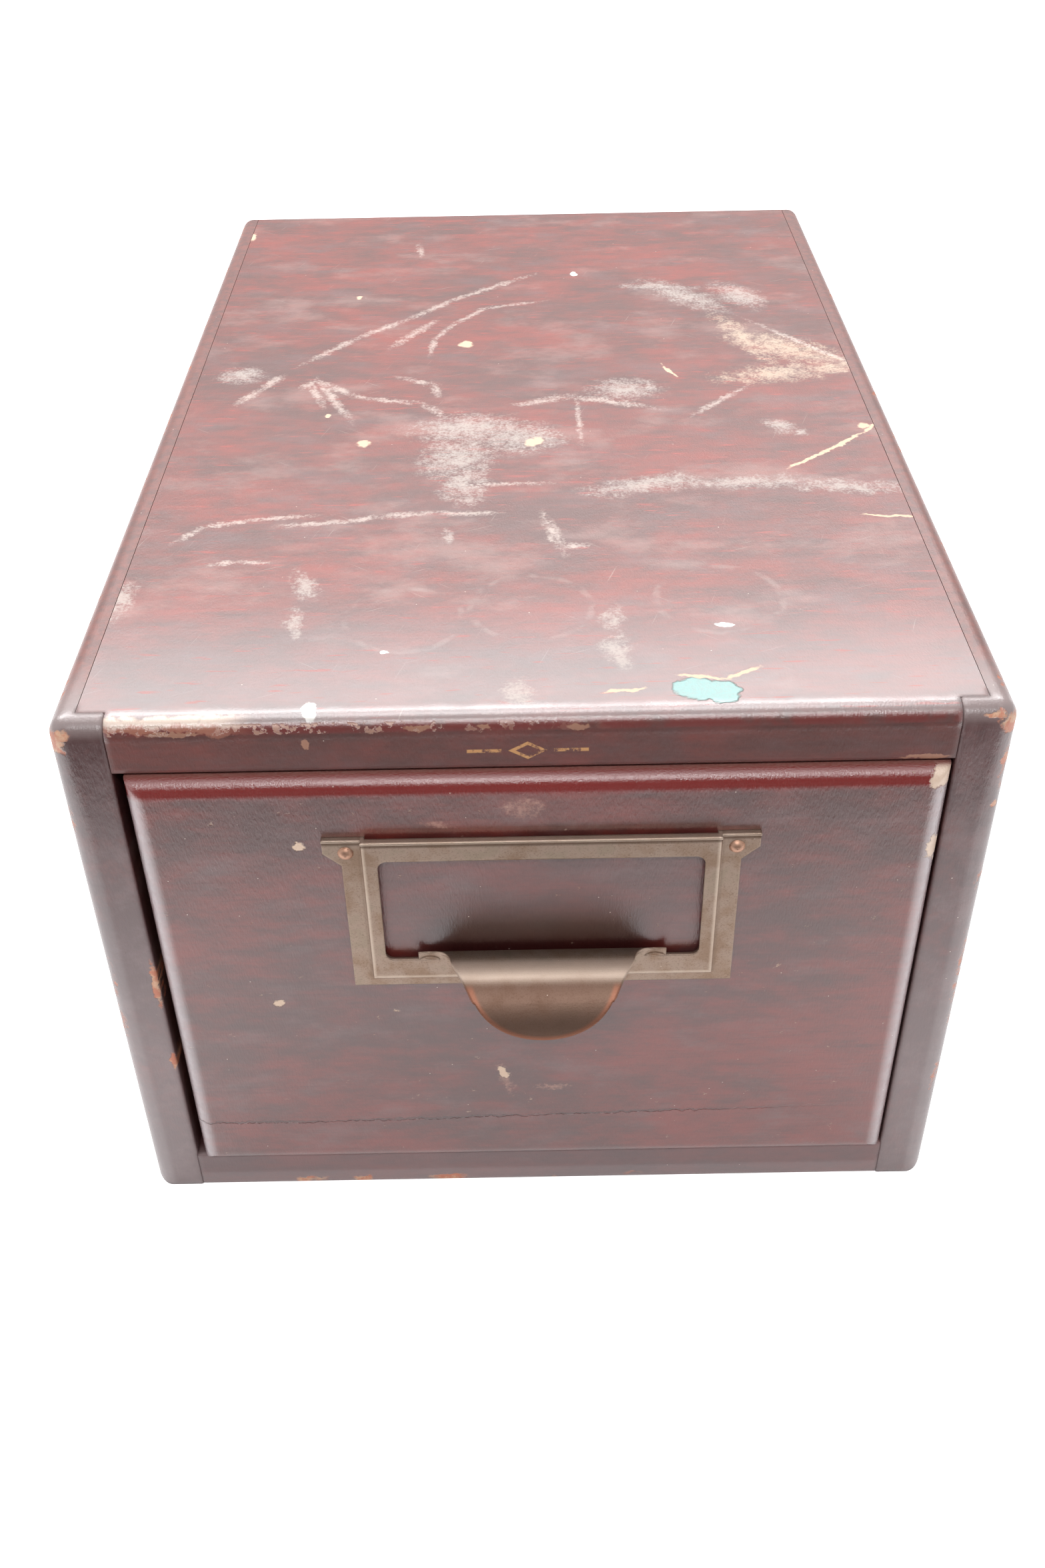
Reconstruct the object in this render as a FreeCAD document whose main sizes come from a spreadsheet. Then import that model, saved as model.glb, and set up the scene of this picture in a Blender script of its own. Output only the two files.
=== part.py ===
"""Index card drawer: a wooden case, its drawer, a label pull and a locking follower.

Millimetres. +X is the user's right, +Y runs to the back and +Z is up.
The origin is the middle of the case's footprint, on the surface it stands on.
"""
import FreeCAD, Part
import math
import os
from types import SimpleNamespace

import Sketcher

os.makedirs("parts", exist_ok=True)

# Driving sizes, in millimetres and degrees. Every one is a cell of the sheet.
SIZES = {
    # case
    "case_width": 168.0,
    "case_depth": 263.0,
    "case_height": 125.0,
    "side_thickness": 10.0,
    "top_thickness": 10.7,
    "bottom_thickness": 10.0,
    "back_thickness": 6.0,
    "back_rabbet": 5.0,
    "joint_rabbet": 5.2,
    "joint_stop": 3.8,
    "joint_seam": 0.12,
    "outer_round": 3.3,
    "eased_edge": 0.5,
    # stop strip under the top board
    "strip_depth": 10.0,
    "strip_height": 8.0,
    # drawer box
    "drawer_shift": 0.65,
    "drawer_side_gap": 1.25,
    "drawer_top_gap": 0.7,
    "drawer_floor_gap": 0.3,
    "drawer_stop_gap": 0.3,
    "drawer_rear_gap": 2.2,
    "front_thickness": 12.7,
    "front_proud": 2.3,
    "front_round": 3.0,
    "front_rabbet": 5.7,
    "flush_inset": 0.4,
    "drawer_side_thickness": 8.0,
    "drawer_side_drop": 12.3,
    "drawer_side_round": 1.5,
    "drawer_back_thickness": 8.0,
    "panel_thickness": 4.5,
    "panel_lift": 3.5,
    "groove_depth": 4.0,
    "panel_clearance": 0.1,
    # label pull: card frame and finger tongue pressed from one sheet
    "pull_shift": 0.55,
    "pull_drop": 12.5,
    "metal_sheet": 0.75,
    "frame_width": 72.5,
    "frame_height": 36.9,
    "rim_side_margin": 3.8,
    "rim_foot_margin": 2.4,
    "card_gap": 0.9,
    "window_side_margin": 6.55,
    "window_foot_margin": 7.5,
    "window_head_margin": 4.8,
    "window_round": 1.75,
    "rim_blend": 0.4,
    "lip_height": 0.6,
    "lip_reach": 0.55,
    "lip_round": 0.25,
    "ear_reach": 3.25,
    "ear_height": 3.4,
    "ear_neck": 6.3,
    "ear_pin_inset": 0.95,
    "ear_pin_drop": 3.3,
    "foot_tab_width": 13.0,
    "foot_tab_height": 6.5,
    "foot_pin_drop": 3.6,
    "tongue_side_margin": 6.2,
    "tongue_ear_width": 6.3,
    "tongue_ear_round": 4.2,
    "tongue_neck_bend": 1.0,
    "tongue_crown_reach": 5.25,
    "tongue_crown_rise": 2.5,
    "tongue_shoulder_inset": 4.2,
    "tongue_shoulder_reach": 13.0,
    "tongue_flank_inset": 0.25,
    "tongue_bend": 11.0,
    "tongue_tip_drop": 7.2,
    "tongue_tip_round": 15.8,
    # fasteners
    "pin_head_radius": 1.45,
    "pin_head_height": 0.9,
    "pin_shank_radius": 0.6,
    "pin_length": 8.0,
    "brad_head_radius": 1.1,
    "brad_head_height": 0.8,
    "brad_shank_radius": 0.7,
    "brad_length": 18.0,
    "short_brad_length": 14.0,
    "wood_screw_head_radius": 3.0,
    "wood_screw_shank_radius": 1.5,
    "wood_screw_length": 14.0,
    "small_screw_head_radius": 2.4,
    "small_screw_shank_radius": 1.1,
    "track_screw_length": 5.0,
    "follower_screw_length": 7.5,
    "head_land": 0.3,
    "slot_width": 0.7,
    "slot_depth": 0.7,
    "round_head_height": 1.9,
    "back_screw_inset": 22.5,
    "bottom_brad_inset": 36.8,
    "strip_screw_inset": 29.6,
    "corner_brad_inset": 16.7,
    "panel_brad_inset": 19.0,
    # turn button that stops the drawer
    "button_width": 13.0,
    "button_thickness": 5.0,
    "button_pivot_drop": 8.0,
    "button_catch": 4.7,
    "button_screw_radius": 2.0,
    "button_head_radius": 4.0,
    "button_screw_length": 11.5,
    "turning_gap": 0.2,
    "turning_fit": 0.08,
    # follower track
    "track_width": 16.0,
    "track_thickness": 2.0,
    "track_lift": 3.0,
    "track_foot": 12.0,
    "track_ramp": 3.0,
    "track_front_inset": 4.0,
    "track_rear_inset": 4.0,
    # follower
    "follower_setback": 141.0,
    "shoe_tail": 6.0,
    "shoe_thickness": 1.5,
    "shoe_lip": 3.0,
    "sliding_gap": 0.3,
    "follower_side_gap": 3.35,
    "follower_head_gap": 8.3,
    "follower_thickness": 8.0,
    "follower_round": 2.0,
    "lean_angle": 10.0,
    "bracket_width": 34.0,
    "bracket_height": 42.0,
    "bracket_screw_spacing": 22.0,
    "bracket_screw_rise": 34.0,
    "lever_slot_front_room": 3.0,
    "lever_slot_rear_room": 2.0,
    "lever_slot_side_room": 0.7,
    # lock lever
    "pivot_setback": 23.0,
    "pivot_rise": 6.0,
    "pivot_radius": 1.5,
    "pivot_overhang": 1.0,
    "pin_ear_wall": 3.5,
    "pin_ear_gap": 0.5,
    "lever_width": 11.0,
    "lever_thickness": 2.0,
    "lever_hub_wall": 1.5,
    "lever_toe_setback": 15.0,
    "lever_toe_gap": 0.1,
    "lever_tail": 28.0,
    "lever_thumb_rise": 10.0,
    "lever_thumb_overhang": 2.5,
    "lever_thumb_round": 3.0,
    # lever spring
    "spring_reach": 17.0,
    "spring_radius": 2.0,
    "spring_wire": 0.6,
    "spring_turns": 4.0,
    "spring_end_gap": 0.1,
}


class Size:
    """A length, angle or position that knows its value and its spreadsheet expression."""

    def __init__(self, value, text):
        self.value = float(value)
        self.text = text

    def __add__(self, other):
        other = as_size(other)
        return Size(self.value + other.value, f"({self.text} + {other.text})")

    def __sub__(self, other):
        other = as_size(other)
        return Size(self.value - other.value, f"({self.text} - {other.text})")

    def __mul__(self, other):
        other = as_size(other)
        return Size(self.value * other.value, f"({self.text} * {other.text})")

    def __truediv__(self, other):
        other = as_size(other)
        return Size(self.value / other.value, f"({self.text} / {other.text})")

    def __neg__(self):
        return Size(-self.value, f"(-{self.text})")


def as_size(value):
    return value if isinstance(value, Size) else Size(value, repr(float(value)))


def sine(angle):
    return Size(math.sin(math.radians(angle.value)), f"sin({angle.text})")


def cosine(angle):
    return Size(math.cos(math.radians(angle.value)), f"cos({angle.text})")


doc = FreeCAD.newDocument("IndexCardDrawer")
sheet = doc.addObject("Spreadsheet::Sheet", "Sizes")
for row, (name, number) in enumerate(SIZES.items(), start=1):
    sheet.set(f"A{row}", name)
    sheet.set(f"B{row}", str(number))
    sheet.setAlias(f"B{row}", name)
doc.recompute()

s = SimpleNamespace(**{name: Size(number, f"Sizes.{name}") for name, number in SIZES.items()})
ZERO = as_size(0)
VECTOR = FreeCAD.Vector
TOLERANCE = 1e-4
HALF_TURN = None
nodes = []

# ---------------------------------------------------------------- worked-out places

half_width = s.case_width / 2
half_opening = half_width - s.side_thickness
front_plane = -s.case_depth / 2
back_plane = s.case_depth / 2
top_underside = s.case_height - s.top_thickness
rabbet_wall = half_opening + s.joint_rabbet
joint_start = front_plane + s.joint_stop
back_inside = back_plane - s.back_thickness
half_back = half_opening + s.back_rabbet
back_foot = s.bottom_thickness - s.back_rabbet
back_head = top_underside + s.back_rabbet

half_front = half_opening - s.drawer_side_gap
half_drawer = half_front - s.flush_inset
half_drawer_inside = half_drawer - s.drawer_side_thickness
front_face = front_plane - s.front_proud
front_rear = front_face + s.front_thickness
drawer_floor = s.bottom_thickness + s.drawer_floor_gap
front_head = top_underside - s.drawer_top_gap
button_room = s.turning_gap + s.button_thickness + s.turning_gap + s.round_head_height
drawer_rear = back_inside - s.drawer_rear_gap - button_room
drawer_back_front = drawer_rear - s.drawer_back_thickness
side_front = front_rear - s.front_rabbet
strip_floor = top_underside - s.strip_height
side_head = strip_floor - s.drawer_side_drop
panel_floor = drawer_floor + s.panel_lift
panel_head = panel_floor + s.panel_thickness

strip_front = front_rear + s.drawer_stop_gap
strip_middle = strip_front + s.strip_depth / 2

button_front = drawer_rear + s.turning_gap
button_rear = button_front + s.button_thickness
button_pivot = side_head - s.button_pivot_drop
button_head = strip_floor + s.button_catch

frame_head = front_head - s.pull_drop
frame_foot = frame_head - s.frame_height
half_frame = s.frame_width / 2
half_rim = half_frame - s.rim_side_margin
rim_foot = frame_foot + s.rim_foot_margin
rim_reach = s.card_gap + s.metal_sheet
half_ears = half_frame + s.ear_reach
half_window = half_frame - s.window_side_margin
window_foot = frame_foot + s.window_foot_margin
window_head = frame_head - s.window_head_margin
half_tongue = half_window - s.tongue_side_margin
half_crown = half_tongue - s.tongue_ear_width
half_shoulder = half_crown - s.tongue_shoulder_inset
half_flank = half_shoulder - s.tongue_flank_inset

track_floor = panel_head + s.track_lift
track_head = track_floor + s.track_thickness
track_front = front_rear + s.track_front_inset
track_rear = drawer_back_front - s.track_rear_inset
shoe_front = front_rear + s.follower_setback
web_floor = track_head + s.sliding_gap
web_head = web_floor + s.shoe_thickness
board_rear = shoe_front + s.follower_thickness / cosine(s.lean_angle)
board_height = (strip_floor - s.follower_head_gap - web_head) / cosine(s.lean_angle)
half_board = half_drawer_inside - s.follower_side_gap
pivot_y = shoe_front + s.pivot_setback
pivot_z = web_head + s.pivot_rise
ear_radius = s.pivot_radius + s.pin_ear_wall
half_ear_gap = s.lever_width / 2 + s.pin_ear_gap
toe_front = shoe_front + s.lever_toe_setback
toe_rear = toe_front + s.lever_thickness
spring_y = pivot_y + s.spring_reach
lever_underside = pivot_z - s.lever_thickness / 2

# ---------------------------------------------------------------- helpers


def check(condition, message):
    if not condition:
        raise RuntimeError(message)


def new_body(label):
    """A PartDesign body; its label names the sub-part or the blank that it is cut from."""
    body = doc.addObject("PartDesign::Body", label)
    body.Label = label
    return body


def keep(item, label):
    """Names a finished sub-part and lists it for writing."""
    item.Label = label
    nodes.append(item)
    return item


def shift_x(item, distance):
    item.setExpression("Placement.Base.x", distance.text)


def new_sketch(body, role, height=ZERO):
    """A sketch on one of the body's own origin planes, raised along that plane's normal."""
    planes = [plane for plane in body.Origin.OriginFeatures if plane.Role == role]
    sketch = body.newObject("Sketcher::SketchObject", "Sketch")
    sketch.AttachmentSupport = [(planes[0], "")]
    sketch.MapMode = "FlatFace"
    sketch.setExpression("AttachmentOffset.Base.z", height.text)
    return sketch


def arc_between(start, end, radius, side):
    """The shorter arc from start to end, its centre to the left (side 1) or right (side -1)."""
    chord = end - start
    middle = (start + end) * 0.5
    rise = math.sqrt(max(radius**2 - (chord.Length / 2) ** 2, 0.0))
    across = VECTOR(-chord.y, chord.x, 0).normalize() * side
    centre = middle + across * rise
    crown = centre - across * radius
    return Part.Arc(start, crown, end)


def draw_outline(sketch, corners, bends=None):
    """A closed outline through corners; bends maps a side's number to (radius, side).

    A radius of HALF_TURN makes a half circle on that side.
    """
    bends = bends or {}
    count = len(corners)
    points = [VECTOR(x.value, y.value, 0) for x, y in corners]
    first = sketch.GeometryCount
    for index, start in enumerate(points):
        end = points[(index + 1) % count]
        if index in bends:
            radius, side = bends[index]
            reach = start.distanceToPoint(end) / 2 if radius is HALF_TURN else radius.value
            sketch.addGeometry(arc_between(start, end, reach, side), False)
        else:
            sketch.addGeometry(Part.LineSegment(start, end), False)
    # Point 1 is a segment's start and point 2 its end; an arc that turns clockwise swaps them.
    ends = []
    for index, start in enumerate(points):
        forward = sketch.getPoint(first + index, 1).distanceToPoint(start) < TOLERANCE
        ends.append((1, 2) if forward else (2, 1))
    for index, (x, y) in enumerate(corners):
        edge = first + index
        following = first + (index + 1) % count
        start_point, end_point = ends[index]
        following_start = ends[(index + 1) % count][0]
        sketch.addConstraint(
            Sketcher.Constraint("Coincident", edge, end_point, following, following_start)
        )
        bind_point(sketch, edge, start_point, x, y)
        if index in bends:
            bind_bend(sketch, edge, bends[index][0], corners[index], corners[(index + 1) % count])


def bind_bend(sketch, edge, radius, start, end):
    """Sets an arc's radius, or holds a half circle's centre level with its two ends."""
    if radius is not HALF_TURN:
        number = sketch.addConstraint(Sketcher.Constraint("Radius", edge, radius.value))
        sketch.setExpression(f"Constraints[{number}]", radius.text)
        return
    across = abs(end[0].value - start[0].value) > abs(end[1].value - start[1].value)
    axis = 1 if across else 0
    bind_coordinate(sketch, edge, 3, axis, (start[axis] + end[axis]) / 2)


def bind_coordinate(sketch, edge, point, axis, place):
    kind = ("DistanceX", "DistanceY")[axis]
    number = sketch.addConstraint(Sketcher.Constraint(kind, -1, 1, edge, point, place.value))
    sketch.setExpression(f"Constraints[{number}]", place.text)


def bind_point(sketch, edge, point, x, y):
    """Holds a sketch point at x, y measured from the sketch's origin."""
    bind_coordinate(sketch, edge, point, 0, x)
    bind_coordinate(sketch, edge, point, 1, y)


def draw_circle(sketch, x, y, radius):
    edge = sketch.GeometryCount
    circle = Part.Circle(VECTOR(x.value, y.value, 0), VECTOR(0, 0, 1), radius.value)
    sketch.addGeometry(circle, False)
    bind_point(sketch, edge, 3, x, y)
    number = sketch.addConstraint(Sketcher.Constraint("Radius", edge, radius.value))
    sketch.setExpression(f"Constraints[{number}]", radius.text)


def rectangle(left, right, low, high):
    return [(left, low), (right, low), (right, high), (left, high)]


def pad(body, sketch, length, reverse=False, symmetric=False):
    feature = body.newObject("PartDesign::Pad", "Pad")
    feature.Profile = sketch
    feature.setExpression("Length", length.text)
    feature.Reversed = reverse
    if symmetric:
        feature.SideType = "Symmetric"
    doc.recompute()
    check(not body.Shape.isNull(), f"{body.Label}: a pad failed")
    return feature


def pocket(body, sketch, depth=None, reverse=False, symmetric=False):
    """A pocket as deep as depth, or right through the body when depth is None."""
    before = body.Shape.Volume
    feature = body.newObject("PartDesign::Pocket", "Pocket")
    feature.Profile = sketch
    feature.Reversed = reverse
    if symmetric:
        feature.SideType = "Symmetric"
    if depth is None:
        feature.Type = "ThroughAll"
    else:
        feature.setExpression("Length", depth.text)
    doc.recompute()
    check(body.Shape.Volume < before - TOLERANCE, f"{body.Label}: a pocket cut nothing")
    return feature


def edges_at(shape, places):
    """Names of the edges that lie wholly on one of the places, each a dict of axis and value."""
    names = []
    for number, edge in enumerate(shape.Edges, start=1):
        spots = [vertex.Point for vertex in edge.Vertexes] + [edge.CenterOfMass]
        for place in places:
            offsets = [
                abs(getattr(spot, axis) - size.value) for spot in spots for axis, size in place.items()
            ]
            if max(offsets) < TOLERANCE:
                names.append(f"Edge{number}")
                break
    return names


def round_edges(body, places, radius):
    """Rounds the body's edges that lie on the given places."""
    base = body.Tip
    names = edges_at(base.Shape, places)
    check(names, f"{body.Label}: no edge to round")
    feature = body.newObject("PartDesign::Fillet", "Fillet")
    feature.Base = (base, names)
    feature.setExpression("Radius", radius.text)
    doc.recompute()
    return feature


def revolved(label, outline, bends=None):
    """A body turned about its own Z axis from an outline in its XZ plane."""
    body = new_body(label)
    sketch = new_sketch(body, "XZ_Plane")
    draw_outline(sketch, outline, bends)
    feature = body.newObject("PartDesign::Revolution", "Revolution")
    feature.Profile = sketch
    feature.ReferenceAxis = (sketch, ["V_Axis"])
    feature.Angle = 360
    doc.recompute()
    return body


def cut_slot(body, head_radius, top):
    """A driver slot across the head, cut down from its top."""
    sketch = new_sketch(body, "XY_Plane", top)
    half_slot = s.slot_width / 2
    draw_outline(sketch, rectangle(-head_radius * 2, head_radius * 2, -half_slot, half_slot))
    pocket(body, sketch, s.slot_depth)


def countersunk_screw(label, head_radius, shank_radius, length):
    """A slotted flat-head screw; its head's top is at the body's origin, its tip below."""
    outline = [
        (ZERO, ZERO),
        (head_radius, ZERO),
        (head_radius, -s.head_land),
        (shank_radius, -s.head_land - head_radius + shank_radius),
        (shank_radius, shank_radius - length),
        (ZERO, -length),
    ]
    body = revolved(label, outline)
    cut_slot(body, head_radius, ZERO)
    return body


def brad(label, length):
    """A thin nail with a small flat head, its head's top at the body's origin."""
    outline = [
        (ZERO, ZERO),
        (s.brad_head_radius, ZERO),
        (s.brad_head_radius, -s.brad_head_height),
        (s.brad_shank_radius, -s.brad_head_height),
        (s.brad_shank_radius, s.brad_shank_radius - length),
        (ZERO, -length),
    ]
    return revolved(label, outline)


def dome_radius(base_radius, height):
    return (base_radius * base_radius + height * height) / (height * 2)


def domed_fastener(label, head_radius, head_height, shank_radius, length):
    """A domed head seated at the body's origin over a plain shank."""
    outline = [
        (ZERO, head_height),
        (ZERO, -length),
        (shank_radius, shank_radius - length),
        (shank_radius, ZERO),
        (head_radius, ZERO),
    ]
    return revolved(label, outline, {4: (dome_radius(head_radius, head_height), 1)})


FACING = {
    "+Z": FreeCAD.Rotation(VECTOR(1, 0, 0), 0),
    "-Z": FreeCAD.Rotation(VECTOR(1, 0, 0), 180),
    "+Y": FreeCAD.Rotation(VECTOR(1, 0, 0), -90),
    "-Y": FreeCAD.Rotation(VECTOR(1, 0, 0), 90),
    "+X": FreeCAD.Rotation(VECTOR(0, 1, 0), 90),
    "-X": FreeCAD.Rotation(VECTOR(0, 1, 0), -90),
}


def fastener_group(label, pattern, places):
    """Copies of one fastener, each at (x, y, z) with its head facing a way, as one sub-part."""
    links = []
    for number, (x, y, z, rotation) in enumerate(places, start=1):
        link = doc.addObject("App::Link", f"{label}_{number}")
        link.LinkedObject = pattern
        link.Placement = FreeCAD.Placement(VECTOR(0, 0, 0), rotation)
        link.setExpression("Placement.Base.x", x.text)
        link.setExpression("Placement.Base.y", y.text)
        link.setExpression("Placement.Base.z", z.text)
        links.append(link)
    group = doc.addObject("Part::Compound", label)
    group.Links = links
    doc.recompute()
    return keep(group, label)


def spread(low, high, inset):
    """Three places in a row: one at an inset from each end and one in the middle."""
    return [low + inset, (low + high) / 2, high - inset]


def bored_for(blank, label, fasteners):
    """The blank less the wood or metal that each of the fasteners takes up."""
    item = blank
    for number, fastener in enumerate(fasteners, start=1):
        bored = doc.addObject("Part::Cut", f"{label}_bored_{number}")
        bored.Base = item
        bored.Tool = fastener
        doc.recompute()
        check(bored.Shape.Volume < item.Shape.Volume - TOLERANCE, f"{label}: a bore cut nothing")
        item = bored
    return keep(item, label)


# ---------------------------------------------------------------- case


def case_side(label, sign):
    """One side board: rabbeted for the top, the bottom and the back, its outer edges rounded."""
    body = new_body(f"{label}_blank")
    outer = half_width * sign
    inner = half_opening * sign
    sketch = new_sketch(body, "YZ_Plane", outer if sign < 0 else inner)
    draw_outline(sketch, rectangle(front_plane, back_plane, ZERO, s.case_height))
    pad(body, sketch, s.side_thickness)
    wall = rabbet_wall * sign
    joints = new_sketch(body, "XZ_Plane", -joint_start)
    left, right = sorted((inner, wall), key=lambda place: place.value)
    draw_outline(joints, rectangle(left, right, top_underside, s.case_height + s.outer_round))
    draw_outline(joints, rectangle(left, right, -s.outer_round, s.bottom_thickness))
    pocket(body, joints)
    seat = new_sketch(body, "XZ_Plane", -back_inside)
    left, right = sorted((inner, half_back * sign), key=lambda place: place.value)
    draw_outline(seat, rectangle(left, right, -s.outer_round, s.case_height + s.outer_round))
    pocket(body, seat)
    rounded = [
        {"x": outer, "z": s.case_height},
        {"x": outer, "z": ZERO},
        {"x": outer, "y": front_plane},
        {"x": outer, "y": back_plane},
        {"y": front_plane, "z": s.case_height},
        {"y": back_plane, "z": s.case_height},
    ]
    round_edges(body, rounded, s.outer_round)
    round_edges(body, [{"x": inner, "y": front_plane}], s.eased_edge)
    return body


def tee_outline(half_neck, half_board):
    """A board's plan: narrower at its front end, where the side boards stay whole."""
    return [
        (-half_neck, front_plane),
        (half_neck, front_plane),
        (half_neck, joint_start),
        (half_board, joint_start),
        (half_board, back_plane),
        (-half_board, back_plane),
        (-half_board, joint_start),
        (-half_neck, joint_start),
    ]


def case_top():
    """The top board, let into the sides, with a rabbet under its rear end for the back."""
    body = new_body("case_top_blank")
    sketch = new_sketch(body, "XY_Plane", top_underside)
    draw_outline(sketch, tee_outline(half_opening - s.joint_seam, rabbet_wall - s.joint_seam))
    pad(body, sketch, s.top_thickness)
    seat = new_sketch(body, "XZ_Plane", -back_inside)
    draw_outline(seat, rectangle(-half_width, half_width, ZERO, back_head))
    pocket(body, seat)
    ends = [{"y": front_plane, "z": s.case_height}, {"y": back_plane, "z": s.case_height}]
    round_edges(body, ends, s.outer_round)
    round_edges(body, [{"y": front_plane, "z": top_underside}], s.eased_edge)
    return body


def case_bottom():
    """The bottom board; its front end is the rail under the drawer."""
    body = new_body("case_bottom_blank")
    sketch = new_sketch(body, "XY_Plane")
    draw_outline(sketch, tee_outline(half_opening, rabbet_wall))
    pad(body, sketch, s.bottom_thickness)
    seat = new_sketch(body, "XZ_Plane", -back_inside)
    draw_outline(seat, rectangle(-half_width, half_width, back_foot, s.case_height))
    pocket(body, seat)
    ends = [{"y": front_plane, "z": s.bottom_thickness}, {"y": front_plane, "z": ZERO}]
    round_edges(body, ends, s.eased_edge)
    return body


def case_back():
    """The thin back panel, seated in the rabbets of the four boards."""
    body = new_body("case_back_blank")
    sketch = new_sketch(body, "XZ_Plane", -back_plane)
    draw_outline(sketch, rectangle(-half_back, half_back, back_foot, back_head))
    pad(body, sketch, s.back_thickness)
    return body


def stop_strip():
    """The strip under the top board that the drawer front closes against."""
    body = new_body("stop_strip_blank")
    sketch = new_sketch(body, "XY_Plane", strip_floor)
    strip_rear = strip_front + s.strip_depth
    draw_outline(sketch, rectangle(-half_opening, half_opening, strip_front, strip_rear))
    pad(body, sketch, s.strip_height)
    edges = [{"y": strip_front, "z": strip_floor}, {"y": strip_rear, "z": strip_floor}]
    round_edges(body, edges, s.eased_edge)
    return body


def build_case():
    """The case: four boards, a back, a stop strip and what holds them together."""
    screw = countersunk_screw(
        "wood_screw_pattern", s.wood_screw_head_radius, s.wood_screw_shank_radius, s.wood_screw_length
    )
    nail = brad("brad_pattern", s.brad_length)
    seat_x = half_opening + s.back_rabbet / 2
    back_screws = fastener_group(
        "case_back_screws",
        screw,
        [
            (seat_x * sign, back_plane, height, FACING["+Y"])
            for sign in (-1, 1)
            for height in spread(ZERO, s.case_height, s.back_screw_inset)
        ],
    )
    nail_x = half_opening + s.joint_rabbet / 2
    bottom_brads = fastener_group(
        "case_bottom_brads",
        nail,
        [
            (nail_x * sign, y, ZERO, FACING["-Z"])
            for sign in (-1, 1)
            for y in spread(front_plane, back_plane, s.bottom_brad_inset)
        ],
    )
    strip_screws = fastener_group(
        "stop_strip_screws",
        screw,
        [
            ((half_opening - s.strip_screw_inset) * sign, strip_middle, strip_floor, FACING["-Z"])
            for sign in (-1, 1)
        ],
    )
    left = case_side("case_side_left", -1)
    right = case_side("case_side_right", 1)
    bored_for(case_top(), "case_top", [strip_screws])
    bored_for(case_bottom(), "case_bottom", [bottom_brads])
    bored_for(left, "case_side_left", [back_screws, bottom_brads])
    bored_for(right, "case_side_right", [back_screws, bottom_brads])
    bored_for(case_back(), "case_back", [back_screws])
    bored_for(stop_strip(), "stop_strip", [strip_screws])
    return nail


# ---------------------------------------------------------------- drawer box


def drawer_front():
    """The thick rounded front, rabbeted behind for the sides and grooved for the bottom."""
    body = new_body("drawer_front_blank")
    sketch = new_sketch(body, "XZ_Plane", -front_face)
    draw_outline(sketch, rectangle(-half_front, half_front, drawer_floor, front_head))
    pad(body, sketch, s.front_thickness, reverse=True)
    rabbets = new_sketch(body, "XY_Plane", side_head)
    for sign in (-1, 1):
        ends = (half_drawer_inside * sign, half_width * sign)
        left, right = sorted(ends, key=lambda place: place.value)
        draw_outline(rabbets, rectangle(left, right, side_front, front_rear + s.front_proud))
    pocket(body, rabbets)
    groove = new_sketch(body, "XZ_Plane", -front_rear)
    draw_outline(groove, rectangle(-half_groove(), half_groove(), panel_floor, panel_head))
    pocket(body, groove, s.groove_depth, reverse=True)
    face = [
        {"y": front_face, "z": front_head},
        {"y": front_face, "z": drawer_floor},
        {"y": front_face, "x": half_front},
        {"y": front_face, "x": -half_front},
    ]
    round_edges(body, face, s.front_round)
    shift_x(body, s.drawer_shift)
    return body


def half_groove():
    """Half the width that the bottom panel's grooves leave between the two side boards."""
    return half_drawer_inside + s.groove_depth


def drawer_side(label, sign):
    """A drawer side, grooved inside for the bottom panel, its top edges eased by hand."""
    body = new_body(f"{label}_blank")
    outer = half_drawer * sign
    inner = half_drawer_inside * sign
    sketch = new_sketch(body, "YZ_Plane", outer if sign < 0 else inner)
    draw_outline(sketch, rectangle(side_front, drawer_rear, drawer_floor, side_head))
    pad(body, sketch, s.drawer_side_thickness)
    groove = new_sketch(body, "XZ_Plane", -side_front)
    left, right = sorted((inner, half_groove() * sign), key=lambda place: place.value)
    draw_outline(groove, rectangle(left, right, panel_floor, panel_head))
    pocket(body, groove)
    round_edges(body, [{"x": outer, "z": side_head}, {"x": inner, "z": side_head}], s.drawer_side_round)
    shift_x(body, s.drawer_shift)
    return body


def drawer_back():
    """The drawer's back, between its sides and above its bottom panel."""
    body = new_body("drawer_back_blank")
    sketch = new_sketch(body, "XZ_Plane", -drawer_back_front)
    draw_outline(sketch, rectangle(-half_drawer_inside, half_drawer_inside, panel_head, side_head))
    pad(body, sketch, s.drawer_back_thickness, reverse=True)
    shift_x(body, s.drawer_shift)
    return body


def drawer_bottom():
    """The thin bottom panel, slid into the grooves from behind and nailed under the back."""
    body = new_body("drawer_bottom_blank")
    sketch = new_sketch(body, "XY_Plane", panel_floor)
    half_panel = half_groove() - s.panel_clearance
    panel_front = front_rear - s.groove_depth + s.panel_clearance
    draw_outline(sketch, rectangle(-half_panel, half_panel, panel_front, drawer_rear))
    pad(body, sketch, s.panel_thickness)
    shift_x(body, s.drawer_shift)
    return body


def corner_brad_places():
    """Heads on the outside of both drawer sides, at the front and the back corners."""
    places = []
    for sign, facing in ((-1, "-X"), (1, "+X")):
        x = s.drawer_shift + half_drawer * sign
        for height in spread(drawer_floor, side_head, s.corner_brad_inset):
            places.append((x, side_front + s.front_rabbet / 2, height, FACING[facing]))
            places.append((x, drawer_rear - s.drawer_back_thickness / 2, height, FACING[facing]))
    return places


# ---------------------------------------------------------------- label pull


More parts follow.
